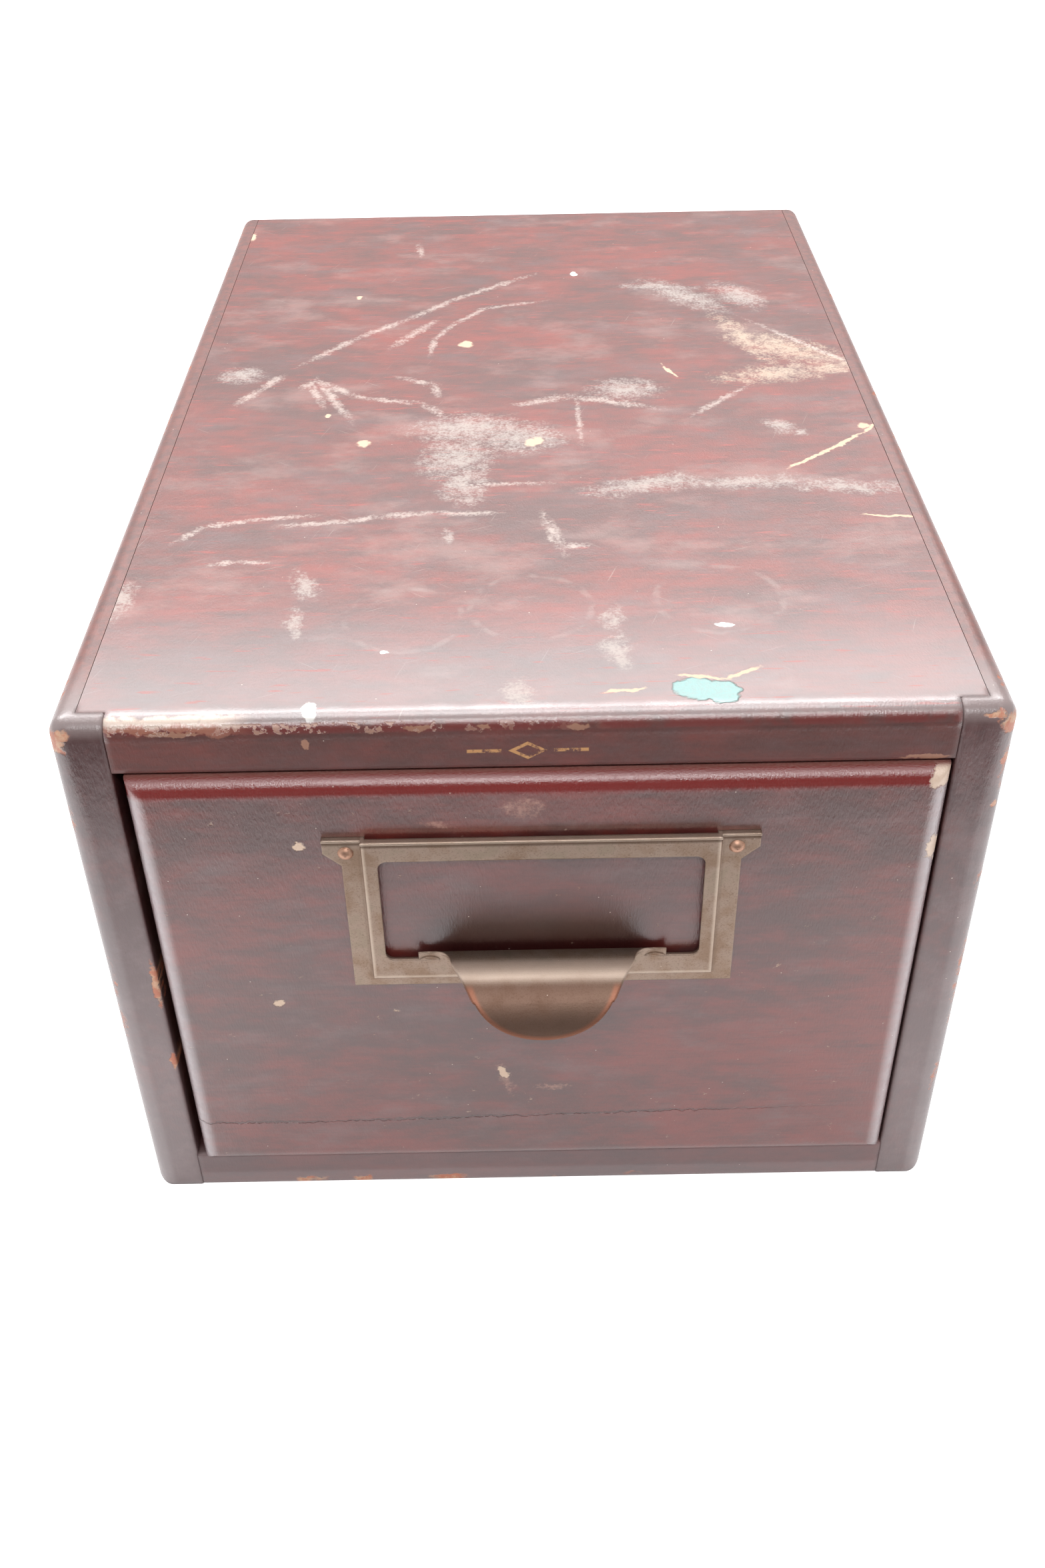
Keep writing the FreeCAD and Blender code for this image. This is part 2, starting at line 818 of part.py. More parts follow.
def pull_flange(body):
    """The flat sheet that lies on the wood: frame, two eared corners and a tab below."""
    half_tab = s.foot_tab_width / 2
    ear_foot = frame_head - s.ear_height
    neck = frame_head - s.ear_neck
    tab_foot = frame_foot - s.foot_tab_height
    outline = [
        (-half_ears, frame_head),
        (-half_ears, ear_foot),
        (-half_frame, neck),
        (-half_frame, frame_foot),
        (-half_tab, frame_foot),
        (-half_tab, tab_foot),
        (half_tab, tab_foot),
        (half_tab, frame_foot),
        (half_frame, frame_foot),
        (half_frame, neck),
        (half_ears, ear_foot),
        (half_ears, frame_head),
    ]
    sketch = new_sketch(body, "XZ_Plane", -front_face)
    draw_outline(sketch, outline)
    pad(body, sketch, s.metal_sheet)


def pull_rim(body):
    """The raised rim round the window, with the card's pocket behind it, open at the top."""
    rim = new_sketch(body, "XZ_Plane", -front_face)
    draw_outline(rim, rectangle(-half_rim, half_rim, rim_foot, frame_head))
    pad(body, rim, rim_reach)
    half_card = half_rim - s.metal_sheet
    card_foot = rim_foot + s.metal_sheet
    card = new_sketch(body, "XZ_Plane", -front_face)
    draw_outline(card, rectangle(-half_card, half_card, card_foot, frame_head + s.ear_height))
    pocket(body, card, s.card_gap, reverse=True)
    window = new_sketch(body, "XZ_Plane", -front_face)
    draw_outline(window, rectangle(-half_window, half_window, window_foot, window_head))
    pocket(body, window, reverse=True)
    corners = [
        {"x": half_window * side, "z": level} for side in (-1, 1) for level in (window_foot, window_head)
    ]
    round_edges(body, corners, s.window_round)
    for face in (front_face - s.metal_sheet, front_face - rim_reach):
        step = [{"y": face, "x": half_rim}, {"y": face, "x": -half_rim}, {"y": face, "z": rim_foot}]
        round_edges(body, step, s.rim_blend)


def pull_lip(body):
    """The top edge of the ears and of the rim, turned forward a little."""
    lip_foot = frame_head - s.lip_height
    for half_lip, sheet_face in (
        (half_ears, front_face - s.metal_sheet),
        (half_rim, front_face - rim_reach),
    ):
        lip_face = sheet_face - s.lip_reach
        lip = new_sketch(body, "XZ_Plane", -sheet_face)
        draw_outline(lip, rectangle(-half_lip, half_lip, lip_foot, frame_head))
        pad(body, lip, s.lip_reach)
        edges = [{"y": lip_face, "z": frame_head}, {"y": lip_face, "z": lip_foot}]
        round_edges(body, edges, s.lip_round)


def pull_tongue():
    """The finger tongue: the sheet rises from the frame, turns forward and curls down."""
    body = new_body("tongue_blank")
    root_y = front_face - s.card_gap
    root_z = window_foot - s.metal_sheet
    crown_y = front_face - s.tongue_crown_reach
    centre_z = window_foot + s.tongue_crown_rise - s.tongue_bend
    inner_bend = s.tongue_bend - s.metal_sheet
    # The tight neck bend lies inside the wide bend and meets it in line.
    neck_y = root_y - s.tongue_neck_bend
    centre_distance = s.tongue_bend - s.tongue_neck_bend
    neck_z = centre_z + square_root(square(centre_distance) - square(neck_y - crown_y))
    join_y = (neck_y - crown_y) / centre_distance
    join_z = (neck_z - centre_z) / centre_distance
    # Where the outer and inner bends reach the height of the tip.
    tip_z = window_foot - s.tongue_tip_drop
    outer_tip = crown_y - square_root(square(s.tongue_bend) - square(tip_z - centre_z))
    inner_tip = crown_y - square_root(square(inner_bend) - square(tip_z - centre_z))
    section = new_sketch(body, "YZ_Plane")
    corners = [
        (root_y, root_z),
        (root_y - s.metal_sheet, root_z),
        (root_y - s.metal_sheet, neck_z),
        (crown_y + join_y * inner_bend, centre_z + join_z * inner_bend),
        (inner_tip, tip_z),
        (outer_tip, tip_z),
        (crown_y + join_y * s.tongue_bend, centre_z + join_z * s.tongue_bend),
        (root_y, neck_z),
    ]
    bends = {
        2: (s.tongue_neck_bend - s.metal_sheet, 1),
        3: (inner_bend, 1),
        5: (s.tongue_bend, -1),
        6: (s.tongue_neck_bend, -1),
    }
    draw_outline(section, corners, bends)
    pad(body, section, half_tongue * 2, symmetric=True)
    shoulder_y = front_face - s.tongue_shoulder_reach
    trim_plan(body, root_y, crown_y, shoulder_y, outer_tip)
    shoulder_z = centre_z + square_root(square(s.tongue_bend) - square(crown_y - shoulder_y))
    trim_face(body, crown_y, shoulder_z, tip_z)
    return body


def square(size):
    return size * size


def square_root(size):
    return Size(math.sqrt(size.value), f"sqrt({size.text})")


def trim_plan(body, root_y, crown_y, shoulder_y, tip_y):
    """Seen from above, the tongue narrows from flared ears at its root to its shoulders."""
    ear_y = root_y - s.metal_sheet
    past_tip = tip_y - s.metal_sheet
    sketch = new_sketch(body, "XY_Plane")
    for sign in (-1, 1):
        outline = [
            (half_tongue * sign, ear_y),
            (half_crown * sign, crown_y),
            (half_shoulder * sign, shoulder_y),
            (half_shoulder * sign, past_tip),
            (half_frame * sign, past_tip),
            (half_frame * sign, ear_y),
        ]
        draw_outline(sketch, outline, {0: (s.tongue_ear_round, sign)})
    pocket(body, sketch, s.case_height * 2, symmetric=True)


def trim_face(body, crown_y, shoulder_z, tip_z):
    """Seen from the front, the tongue's lower end runs in from its shoulders to a round tip."""
    rise = s.tongue_tip_round - square_root(square(s.tongue_tip_round) - square(half_flank))
    flank_z = tip_z + rise
    below = tip_z - s.metal_sheet
    sketch = new_sketch(body, "XZ_Plane", -crown_y)
    outline = [
        (-half_frame, shoulder_z),
        (-half_shoulder, shoulder_z),
        (-half_flank, flank_z),
        (ZERO, tip_z),
        (half_flank, flank_z),
        (half_shoulder, shoulder_z),
        (half_frame, shoulder_z),
        (half_frame, below),
        (-half_frame, below),
    ]
    draw_outline(sketch, outline, {2: (s.tongue_tip_round, 1), 3: (s.tongue_tip_round, 1)})
    pocket(body, sketch, reverse=True)


def label_pull():
    frame = new_body("label_frame_blank")
    pull_flange(frame)
    pull_rim(frame)
    pull_lip(frame)
    tongue = pull_tongue()
    joined = doc.addObject("Part::MultiFuse", "label_pull_blank")
    joined.Shapes = [frame, tongue]
    shift_x(joined, s.drawer_shift + s.pull_shift)
    doc.recompute()
    return joined


def pull_pin_places():
    """Two pins through the ears and one through the tab, hidden under the tongue."""
    middle = s.drawer_shift + s.pull_shift
    seat = front_face - s.metal_sheet
    level = frame_head - s.ear_pin_drop
    reach = half_frame - s.ear_pin_inset
    places = [(middle + reach * sign, seat, level, FACING["-Y"]) for sign in (-1, 1)]
    places.append((middle, seat, frame_foot - s.foot_pin_drop, FACING["-Y"]))
    return places


# ---------------------------------------------------------------- stop button and track


def stop_button():
    """The turn button behind the drawer's back, upright where it catches the stop strip."""
    body = new_body("stop_button")
    half_button = s.button_width / 2
    sketch = new_sketch(body, "XZ_Plane", -button_rear)
    outline = [
        (-half_button, button_head),
        (-half_button, button_pivot),
        (half_button, button_pivot),
        (half_button, button_head),
    ]
    draw_outline(sketch, outline, {1: (HALF_TURN, 1)})
    draw_circle(sketch, ZERO, button_pivot, s.button_screw_radius + s.turning_fit)
    pad(body, sketch, s.button_thickness)
    upright = [{"x": half_button * sign, "z": button_head} for sign in (-1, 1)]
    round_edges(body, upright, s.front_round)
    shift_x(body, s.drawer_shift)
    return keep(body, "stop_button")


def follower_track():
    """The raised steel bar that the follower runs on, with a screwed foot at each end."""
    body = new_body("follower_track_blank")
    sketch = new_sketch(body, "YZ_Plane")
    foot_head = panel_head + s.track_thickness
    front_rise = track_front + s.track_foot
    rear_rise = track_rear - s.track_foot
    corners = [
        (track_front, panel_head),
        (front_rise, panel_head),
        (front_rise + s.track_ramp, track_floor),
        (rear_rise - s.track_ramp, track_floor),
        (rear_rise, panel_head),
        (track_rear, panel_head),
        (track_rear, foot_head),
        (rear_rise, foot_head),
        (rear_rise - s.track_ramp, track_head),
        (front_rise + s.track_ramp, track_head),
        (front_rise, foot_head),
        (track_front, foot_head),
    ]
    draw_outline(sketch, corners)
    pad(body, sketch, s.track_width, symmetric=True)
    shift_x(body, s.drawer_shift)
    return body


def track_screw_places():
    level = panel_head + s.track_thickness
    return [
        (s.drawer_shift, track_front + s.track_foot / 2, level, FACING["+Z"]),
        (s.drawer_shift, track_rear - s.track_foot / 2, level, FACING["+Z"]),
    ]


def build_drawer(nail):
    """The drawer box, its label pull, its follower track and its stop button."""
    short_nail = brad("short_brad_pattern", s.short_brad_length)
    pin = domed_fastener(
        "pull_pin_pattern", s.pin_head_radius, s.pin_head_height, s.pin_shank_radius, s.pin_length
    )
    small_screw = countersunk_screw(
        "track_screw_pattern", s.small_screw_head_radius, s.small_screw_shank_radius, s.track_screw_length
    )
    corner_brads = fastener_group("drawer_corner_brads", nail, corner_brad_places())
    back_y = drawer_rear - s.drawer_back_thickness / 2
    bottom_brads = fastener_group(
        "drawer_bottom_brads",
        short_nail,
        [
            (s.drawer_shift + x, back_y, panel_floor, FACING["-Z"])
            for x in spread(-half_drawer_inside, half_drawer_inside, s.panel_brad_inset)
        ],
    )
    pins = fastener_group("label_pull_pins", pin, pull_pin_places())
    track_screws = fastener_group("track_screws", small_screw, track_screw_places())
    button_screw = stop_button_screw()
    bored_for(drawer_front(), "drawer_front", [corner_brads, pins])
    bored_for(drawer_side("drawer_side_left", -1), "drawer_side_left", [corner_brads])
    bored_for(drawer_side("drawer_side_right", 1), "drawer_side_right", [corner_brads])
    bored_for(drawer_back(), "drawer_back", [corner_brads, bottom_brads, button_screw])
    bored_for(drawer_bottom(), "drawer_bottom", [bottom_brads, track_screws])
    bored_for(label_pull(), "label_pull", [pins])
    bored_for(follower_track(), "follower_track", [track_screws])
    stop_button()


def stop_button_screw():
    """The round-head screw that the stop button turns on."""
    screw = domed_fastener(
        "button_screw_pattern",
        s.button_head_radius,
        s.round_head_height,
        s.button_screw_radius,
        s.button_screw_length,
    )
    cut_slot(screw, s.button_head_radius, s.round_head_height)
    place = (s.drawer_shift, button_rear + s.turning_gap, button_pivot, FACING["+Y"])
    return fastener_group("stop_button_screw", screw, [place])


# ---------------------------------------------------------------- follower


def leaning(distance, setback, start_y, start_z):
    """A point up a leaning face and back from it."""
    y = start_y + sine(s.lean_angle) * distance + cosine(s.lean_angle) * setback
    z = start_z + cosine(s.lean_angle) * distance - sine(s.lean_angle) * setback
    return (y, z)


def follower_board():
    """The wooden board that leans back and holds the cards up."""
    body = new_body("follower_board_blank")
    sketch = new_sketch(body, "YZ_Plane")
    corners = [
        (shoe_front, web_head),
        (board_rear, web_head),
        leaning(board_height, s.follower_thickness, shoe_front, web_head),
        leaning(board_height, ZERO, shoe_front, web_head),
    ]
    draw_outline(sketch, corners)
    pad(body, sketch, half_board * 2, symmetric=True)
    top_y, top_z = corners[3]
    rear_y, rear_z = corners[2]
    round_edges(body, [{"y": top_y, "z": top_z}, {"y": rear_y, "z": rear_z}], s.follower_round)
    shift_x(body, s.drawer_shift)
    return body


def shoe_channel(body):
    """The channel that wraps round the track, its lips turned in underneath."""
    inner = s.track_width / 2 + s.sliding_gap
    outer = inner + s.shoe_thickness
    lip_end = inner - s.shoe_lip
    lip_head = track_floor - s.sliding_gap
    lip_floor = lip_head - s.shoe_thickness
    outline = [
        (-outer, lip_floor),
        (-lip_end, lip_floor),
        (-lip_end, lip_head),
        (-inner, lip_head),
        (-inner, web_floor),
        (inner, web_floor),
        (inner, lip_head),
        (lip_end, lip_head),
        (lip_end, lip_floor),
        (outer, lip_floor),
        (outer, web_head),
        (-outer, web_head),
    ]
    sketch = new_sketch(body, "XZ_Plane", -shoe_front)
    draw_outline(sketch, outline)
    pad(body, sketch, spring_y + s.shoe_tail - shoe_front, reverse=True)
    slot = new_sketch(body, "XY_Plane", web_head)
    half_slot = s.lever_width / 2 + s.lever_slot_side_room
    slot_front = toe_front - s.lever_slot_front_room
    slot_rear = toe_rear + s.lever_slot_rear_room
    draw_outline(slot, rectangle(-half_slot, half_slot, slot_front, slot_rear))
    pocket(body, slot, s.shoe_thickness)


def shoe_bracket(body):
    """The leaning plate behind the board, bent up from the channel's front end."""
    sketch = new_sketch(body, "YZ_Plane")
    bracket_rear = board_rear + s.shoe_thickness / cosine(s.lean_angle)
    corners = [
        (board_rear, web_head),
        (bracket_rear, web_head - s.shoe_thickness / 2),
        leaning(s.bracket_height, s.shoe_thickness, board_rear, web_head),
        leaning(s.bracket_height, ZERO, board_rear, web_head),
    ]
    draw_outline(sketch, corners)
    pad(body, sketch, s.bracket_width, symmetric=True)


def shoe_ears(body):
    """Two ears that carry the lever's pin."""
    front = pivot_y - ear_radius
    rear = pivot_y + ear_radius
    root = web_head - s.shoe_thickness / 2
    for sign in (-1, 1):
        inner = half_ear_gap * sign
        outer = (half_ear_gap + s.shoe_thickness) * sign
        sketch = new_sketch(body, "YZ_Plane", outer if sign < 0 else inner)
        outline = [(front, root), (rear, root), (rear, pivot_z), (front, pivot_z)]
        draw_outline(sketch, outline, {2: (HALF_TURN, 1)})
        pad(body, sketch, s.shoe_thickness)


def follower_shoe():
    body = new_body("follower_shoe_blank")
    shoe_channel(body)
    shoe_bracket(body)
    shoe_ears(body)
    shift_x(body, s.drawer_shift)
    return body


def lever_pin():
    """The plain pin through both ears, on which the lever turns."""
    pin = doc.addObject("Part::Cylinder", "lever_pin_blank")
    length = (half_ear_gap + s.shoe_thickness + s.pivot_overhang) * 2
    pin.setExpression("Radius", s.pivot_radius.text)
    pin.setExpression("Height", length.text)
    pin.Placement = FreeCAD.Placement(VECTOR(0, 0, 0), FACING["+X"])
    pin.setExpression("Placement.Base.x", (s.drawer_shift - length / 2).text)
    pin.setExpression("Placement.Base.y", pivot_y.text)
    pin.setExpression("Placement.Base.z", pivot_z.text)
    doc.recompute()
    return keep(pin, "lever_pin")


def lock_lever():
    """The sprung lever: its toe grips the track and its thumb plate frees it."""
    body = new_body("lock_lever")
    half_plate = s.lever_thickness / 2
    toe_floor = track_head + s.lever_toe_gap
    tail_end = pivot_y + s.lever_tail
    thumb_head = pivot_z + s.lever_thumb_rise
    arm = new_sketch(body, "YZ_Plane")
    outline = [
        (toe_front, toe_floor),
        (toe_rear, toe_floor),
        (toe_rear, lever_underside),
        (tail_end, lever_underside),
        (tail_end, pivot_z + half_plate),
        (toe_front, pivot_z + half_plate),
    ]
    draw_outline(arm, outline)
    pad(body, arm, s.lever_width, symmetric=True)
    hub = new_sketch(body, "YZ_Plane")
    draw_circle(hub, pivot_y, pivot_z, s.pivot_radius + s.lever_hub_wall)
    pad(body, hub, s.lever_width, symmetric=True)
    bore = new_sketch(body, "YZ_Plane")
    draw_circle(bore, pivot_y, pivot_z, s.pivot_radius + s.turning_fit)
    pocket(body, bore, s.lever_width * 2, symmetric=True)
    thumb = new_sketch(body, "XZ_Plane", -tail_end)
    half_thumb = s.lever_width / 2 + s.lever_thumb_overhang
    draw_outline(thumb, rectangle(-half_thumb, half_thumb, lever_underside, thumb_head))
    pad(body, thumb, s.lever_thickness, reverse=True)
    corners = [{"x": half_thumb * side, "z": thumb_head} for side in (-1, 1)]
    round_edges(body, corners, s.lever_thumb_round)
    shift_x(body, s.drawer_shift)
    return keep(body, "lock_lever")


def lever_spring():
    """The small coil spring between the channel and the lever's tail."""
    body = new_body("lever_spring")
    low = web_head + s.spring_end_gap + s.spring_wire / 2
    high = lever_underside - s.spring_end_gap - s.spring_wire / 2
    sketch = new_sketch(body, "XZ_Plane")
    draw_circle(sketch, s.spring_radius, ZERO, s.spring_wire / 2)
    coil = body.newObject("PartDesign::AdditiveHelix", "Coil")
    coil.Profile = sketch
    coil.ReferenceAxis = (sketch, ["V_Axis"])
    coil.Mode = "height-turns-angle"
    coil.setExpression("Height", (high - low).text)
    coil.setExpression("Turns", s.spring_turns.text)
    shift_x(body, s.drawer_shift)
    body.setExpression("Placement.Base.y", spring_y.text)
    body.setExpression("Placement.Base.z", low.text)
    doc.recompute()
    return keep(body, "lever_spring")


def follower_screw_places():
    """Two round-head screws from the bracket's back into the board."""
    rise = s.bracket_screw_rise
    y, z = leaning(rise, s.shoe_thickness, board_rear, web_head)
    tilt = FreeCAD.Rotation(VECTOR(1, 0, 0), -90 - s.lean_angle.value)
    return [(s.drawer_shift + s.bracket_screw_spacing * share, y, z, tilt) for share in (-0.5, 0.5)]


def build_follower():
    """The follower: board, shoe, screws, and the sprung lever that locks it."""
    screw = domed_fastener(
        "follower_screw_pattern",
        s.small_screw_head_radius,
        s.pin_head_height,
        s.small_screw_shank_radius,
        s.follower_screw_length,
    )
    screws = fastener_group("follower_screws", screw, follower_screw_places())
    bored_for(follower_board(), "follower_board", [screws])
    pin = lever_pin()
    bored_for(follower_shoe(), "follower_shoe", [screws, pin])
    lock_lever()
    lever_spring()


# ---------------------------------------------------------------- build, check and write


def check_document():
    """Stops before anything is written if a feature failed or a sub-part isn't sound."""
    for item in doc.Objects:
        failed = [state for state in item.State if state in ("Invalid", "Error")]
        check(not failed, f"{item.Name} ({item.Label}) failed: {failed}")
    for item in nodes:
        shape = item.Shape
        check(not shape.isNull() and shape.isValid(), f"{item.Label} has no valid shape")
        check(len(shape.Solids) > 0, f"{item.Label} has no solid")


def write_parts():
    for item in nodes:
        item.Shape.exportStep(os.path.join("parts", f"{item.Label}.step"))
        print(f"{item.Label:24s} solids {len(item.Shape.Solids):2d}  mm3 {item.Shape.Volume:10.1f}")


common_nail = build_case()
build_drawer(common_nail)
build_follower()
doc.recompute()
check_document()
write_parts()
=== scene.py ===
# %% [markdown]
# # Dressing an old index card drawer
# The model arrives as finished solids: a wooden case, a drawer with a pressed metal label pull, and a
# sliding follower inside. All shapes are right, so this lesson is about light and finish: how old
# varnish, bare wood, splashed paint and bronzed steel are built from shader maths.


import math

import bpy
from mathutils import Matrix, Vector


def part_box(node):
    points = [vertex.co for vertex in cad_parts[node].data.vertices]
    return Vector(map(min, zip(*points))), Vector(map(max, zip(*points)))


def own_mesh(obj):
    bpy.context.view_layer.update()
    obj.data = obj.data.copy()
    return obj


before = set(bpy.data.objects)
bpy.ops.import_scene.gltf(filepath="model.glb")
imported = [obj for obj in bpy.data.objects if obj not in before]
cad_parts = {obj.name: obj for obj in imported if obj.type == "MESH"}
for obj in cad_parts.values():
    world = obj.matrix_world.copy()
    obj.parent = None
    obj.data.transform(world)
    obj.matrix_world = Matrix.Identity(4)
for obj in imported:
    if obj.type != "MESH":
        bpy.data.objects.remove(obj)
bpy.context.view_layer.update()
bpy.ops.object.select_all(action="DESELECT")
print("solids:", len(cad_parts))


# %% [markdown]
# ## A small language for shader nodes
# Clicking nodes together by hand is slow once a finish has more than a handful of them. `Signal`
# wraps one output socket, so that `a * 2 + b` adds the Math nodes it needs. `Graph.node` makes every
# other node: its settings are set first and its sockets after, because some settings change sockets.


# %% A socket that Python operators work on
class Signal:
    """One output socket; each operator on it adds a Math node to the same graph."""

    def __init__(self, graph, socket):
        self.graph = graph
        self.socket = socket

    def __add__(self, other):
        return self.graph.maths("ADD", self, other)

    __radd__ = __add__

    def __sub__(self, other):
        return self.graph.maths("SUBTRACT", self, other)

    def __rsub__(self, other):
        return self.graph.maths("SUBTRACT", other, self)

    def __mul__(self, other):
        return self.graph.maths("MULTIPLY", self, other)

    __rmul__ = __mul__

    def __truediv__(self, other):
        return self.graph.maths("DIVIDE", self, other)

    def fade(self, nothing, full):
        """0 at `nothing`, 1 at `full`, with an eased curve between them, either way round."""
        settings = {"interpolation_type": "SMOOTHSTEP"}
        inputs = {"Value": self, "From Min": nothing, "From Max": full}
        return self.graph.node("ShaderNodeMapRange", settings, inputs)

    def size(self):
        """The value without its sign."""
        return self.graph.maths("ABSOLUTE", self)

    def least(self, other):
        """The smaller of the two, place by place."""
        return self.graph.maths("MINIMUM", self, other)

    def most(self, other):
        """The larger of the two, which lays one mask over another."""
        return self.graph.maths("MAXIMUM", self, other)


# %% The graph that makes the nodes
class Graph:
    """A node tree, emptied, with one method that adds any node and a few that name common ones."""

    def __init__(self, tree):
        self.tree = tree
        tree.nodes.clear()

    def node(self, kind, settings=None, inputs=None, output=0):
        """Adds a node: settings first, then a number or a link for each socket named."""
        made = self.tree.nodes.new(kind)
        for name, value in (settings or {}).items():
            setattr(made, name, value)
        for name, value in (inputs or {}).items():
            if isinstance(value, Signal):
                self.tree.links.new(value.socket, made.inputs[name])
            else:
                made.inputs[name].default_value = value
        return Signal(self, made.outputs[output]) if made.outputs else None

    def maths(self, operation, *values):
        """A Math node on one or two numbers or signals."""
        return self.node("ShaderNodeMath", {"operation": operation}, dict(enumerate(values)))

    def stretch(self, place, factors):
        """The place with its three distances multiplied."""
        return self.node("ShaderNodeVectorMath", {"operation": "MULTIPLY"}, {0: place, 1: factors})

    def noise(self, place, size, detail=3.0, roughness=0.5, output="Fac"):
        """Soft noise whose lumps are about `size` millimetres across."""
        inputs = {"Vector": place, "Scale": 1 / size, "Detail": detail, "Roughness": roughness}
        return self.node("ShaderNodeTexNoise", None, inputs, output)

    def mix(self, mask, under, over):
        """The colour `under`, covered by `over` where the mask is 1."""
        return self.node("ShaderNodeMix", {"data_type": "RGBA"}, {0: mask, 6: under, 7: over}, 2)

    def layered(self, colour, *layers):
        """The colour with others laid over it in turn; each layer is its mask and its colour."""
        for mask, over in layers:
            colour = self.mix(mask, colour, over)
        return colour

    def blend(self, mask, low, high):
        """A number that runs from `low` to `high` as the mask goes from 0 to 1."""
        return mask * (high - low) + low


# %% Colours as a painter writes them
def paint(red, green, blue):
    """A colour picked on screen, 0 to 255, as the linear colour that shaders work with."""
    return (*(((part / 255 + 0.055) / 1.055) ** 2.4 for part in (red, green, blue)), 1.0)


print("paint(128, 128, 128) is", [round(part, 3) for part in paint(128, 128, 128)])


# %% [markdown]
# ## The camera
# It stands in front of the drawer, a little above it, and looks down. Its place and angles were
# measured once, from the corners of the case, and are kept as plain numbers: a lens is easier to
# judge as a focal length in pixels of the picture, which is then turned into millimetres.


# %% Place the camera
PICTURE_WIDTH, PICTURE_HEIGHT = 1568, 2352
FOCAL_PIXELS = 2330.1
SENSOR_LONG_SIDE = 36.0
EYE = Vector((-0.00131, -0.3471, 0.28018))
HEADING, LOOKING_DOWN, TILT = (math.radians(angle) for angle in (-0.169, 38.191, -1.159))

bpy.ops.object.camera_add(location=EYE)
camera = bpy.context.object
camera.name = "camera"
camera.data.sensor_width = SENSOR_LONG_SIDE
camera.data.lens = FOCAL_PIXELS * SENSOR_LONG_SIDE / PICTURE_HEIGHT
turn = Matrix.Rotation(-HEADING, 3, "Z") @ Matrix.Rotation(math.pi / 2 - LOOKING_DOWN, 3, "X")
turn = turn @ Matrix.Rotation(TILT, 3, "Z")
camera.rotation_euler = turn.to_euler()
camera.data.clip_start = 0.01
bpy.context.scene.camera = camera
print(f"lens {camera.data.lens:.2f} mm for a picture of {PICTURE_WIDTH} x {PICTURE_HEIGHT} pixels")


# %% [markdown]
# ## Light
# Varnish shows what it mirrors, so the light is planned as a room. The walls and the floor are pale,
# which gives the front its soft veil. Three softboxes do the rest: the one behind gives the top its
# sheen, the one overhead evens it out, and a long low one in front draws the bright lines along the
# rounded edges. Two dark cards, which only gloss can see, keep the front deep between those lines.


# %% Helpers for the studio
WHITE = (1.0, 1.0, 1.0, 1.0)


def softbox(name, place, aim, width, height, brightness):
    """A flat lamp at `place` that faces `aim`. Brightness 1 is as bright as white paper."""
    bpy.ops.object.light_add(type="AREA", location=place)
    lamp = bpy.context.object
    lamp.name = name
    lamp.data.shape = "RECTANGLE"
    lamp.data.size = width
    lamp.data.size_y = height
    lamp.data.energy = brightness * math.pi * width * height
    lamp.rotation_euler = (Vector(aim) - Vector(place)).to_track_quat("-Z", "Y").to_euler()
    print(f"{name}: {lamp.data.energy:.1f} W")
    return lamp


def seen_as_background(graph):
    """1 for rays from the camera, off gloss and through glass; 0 for light that only fills."""
    kinds = ("Camera", "Glossy", "Transmission")
    camera_ray, glossy_ray, clear_ray = (
        graph.node("ShaderNodeLightPath", output=f"Is {kind} Ray") for kind in kinds
    )
    return camera_ray.most(glossy_ray).most(clear_ray)


# %% The pale room
FILL = 0.34
world = bpy.data.worlds.new("room")
bpy.context.scene.world = world
world.use_nodes = True
room = Graph(world.node_tree)
room_strength = room.blend(seen_as_background(room), FILL, 1.0)
room_light = room.node("ShaderNodeBackground", None, {"Color": WHITE, "Strength": room_strength})
room.node("ShaderNodeOutputWorld", None, {"Surface": room_light})
print("room: looks white, and lights with a strength of", FILL)


# %% The floor, pale and matt, which still shows the shadow
FLOOR_SIZE = 8.0
FLOOR_PAINT = paint(236, 236, 237)
FLOOR_LIFT = 0.72
bpy.ops.mesh.primitive_plane_add(size=FLOOR_SIZE)
floor = bpy.context.object
floor.name = "floor"
floor_finish = bpy.data.materials.new("floor")
floor_finish.use_nodes = True
ground = Graph(floor_finish.node_tree)
matt = ground.node("ShaderNodeBsdfDiffuse", None, {"Color": FLOOR_PAINT})
lift_strength = seen_as_background(ground) * FLOOR_LIFT
lift = ground.node("ShaderNodeEmission", None, {"Color": WHITE, "Strength": lift_strength})
both = ground.node("ShaderNodeAddShader", None, {0: matt, 1: lift})
ground.node("ShaderNodeOutputMaterial", None, {"Surface": both})
floor.data.materials.append(floor_finish)
print("floor:", FLOOR_SIZE, "m wide")


# %% The lamps
TOP_MIDDLE = (0.0, -0.03, 0.12)
softbox("back softbox", (-0.16, 0.80, 0.98), TOP_MIDDLE, 1.90, 0.50, 7.0)
softbox("overhead softbox", (-0.04, 0.22, 1.55), TOP_MIDDLE, 1.00, 0.42, 4.4)
softbox("front softbox", (0.0, -0.94, 1.12), TOP_MIDDLE, 0.80, 0.13, 25.0)


# %% The dark cards
CARD_GLOW = 0.1


def dark_card(name, middle, size, aim=None):
    """A card that only gloss can see. Flat on the floor, or facing a point."""
    bpy.ops.mesh.primitive_plane_add(size=1.0, location=middle)
    card = bpy.context.object
    card.name = name
    card.scale = (*size, 1.0)
    if aim is not None:
        card.rotation_euler = (Vector(aim) - card.location).to_track_quat("Z", "Y").to_euler()
    card_paint = bpy.data.materials.new(name)
    card_paint.use_nodes = True
    graph = Graph(card_paint.node_tree)
    dark = graph.node("ShaderNodeEmission", None, {"Color": WHITE, "Strength": CARD_GLOW})
    graph.node("ShaderNodeOutputMaterial", None, {"Surface": dark})
    card.data.materials.append(card_paint)
    card.visible_camera = False
    card.visible_diffuse = False
    card.visible_shadow = False
    print(f"{name}: {size[0]} by {size[1]} m")


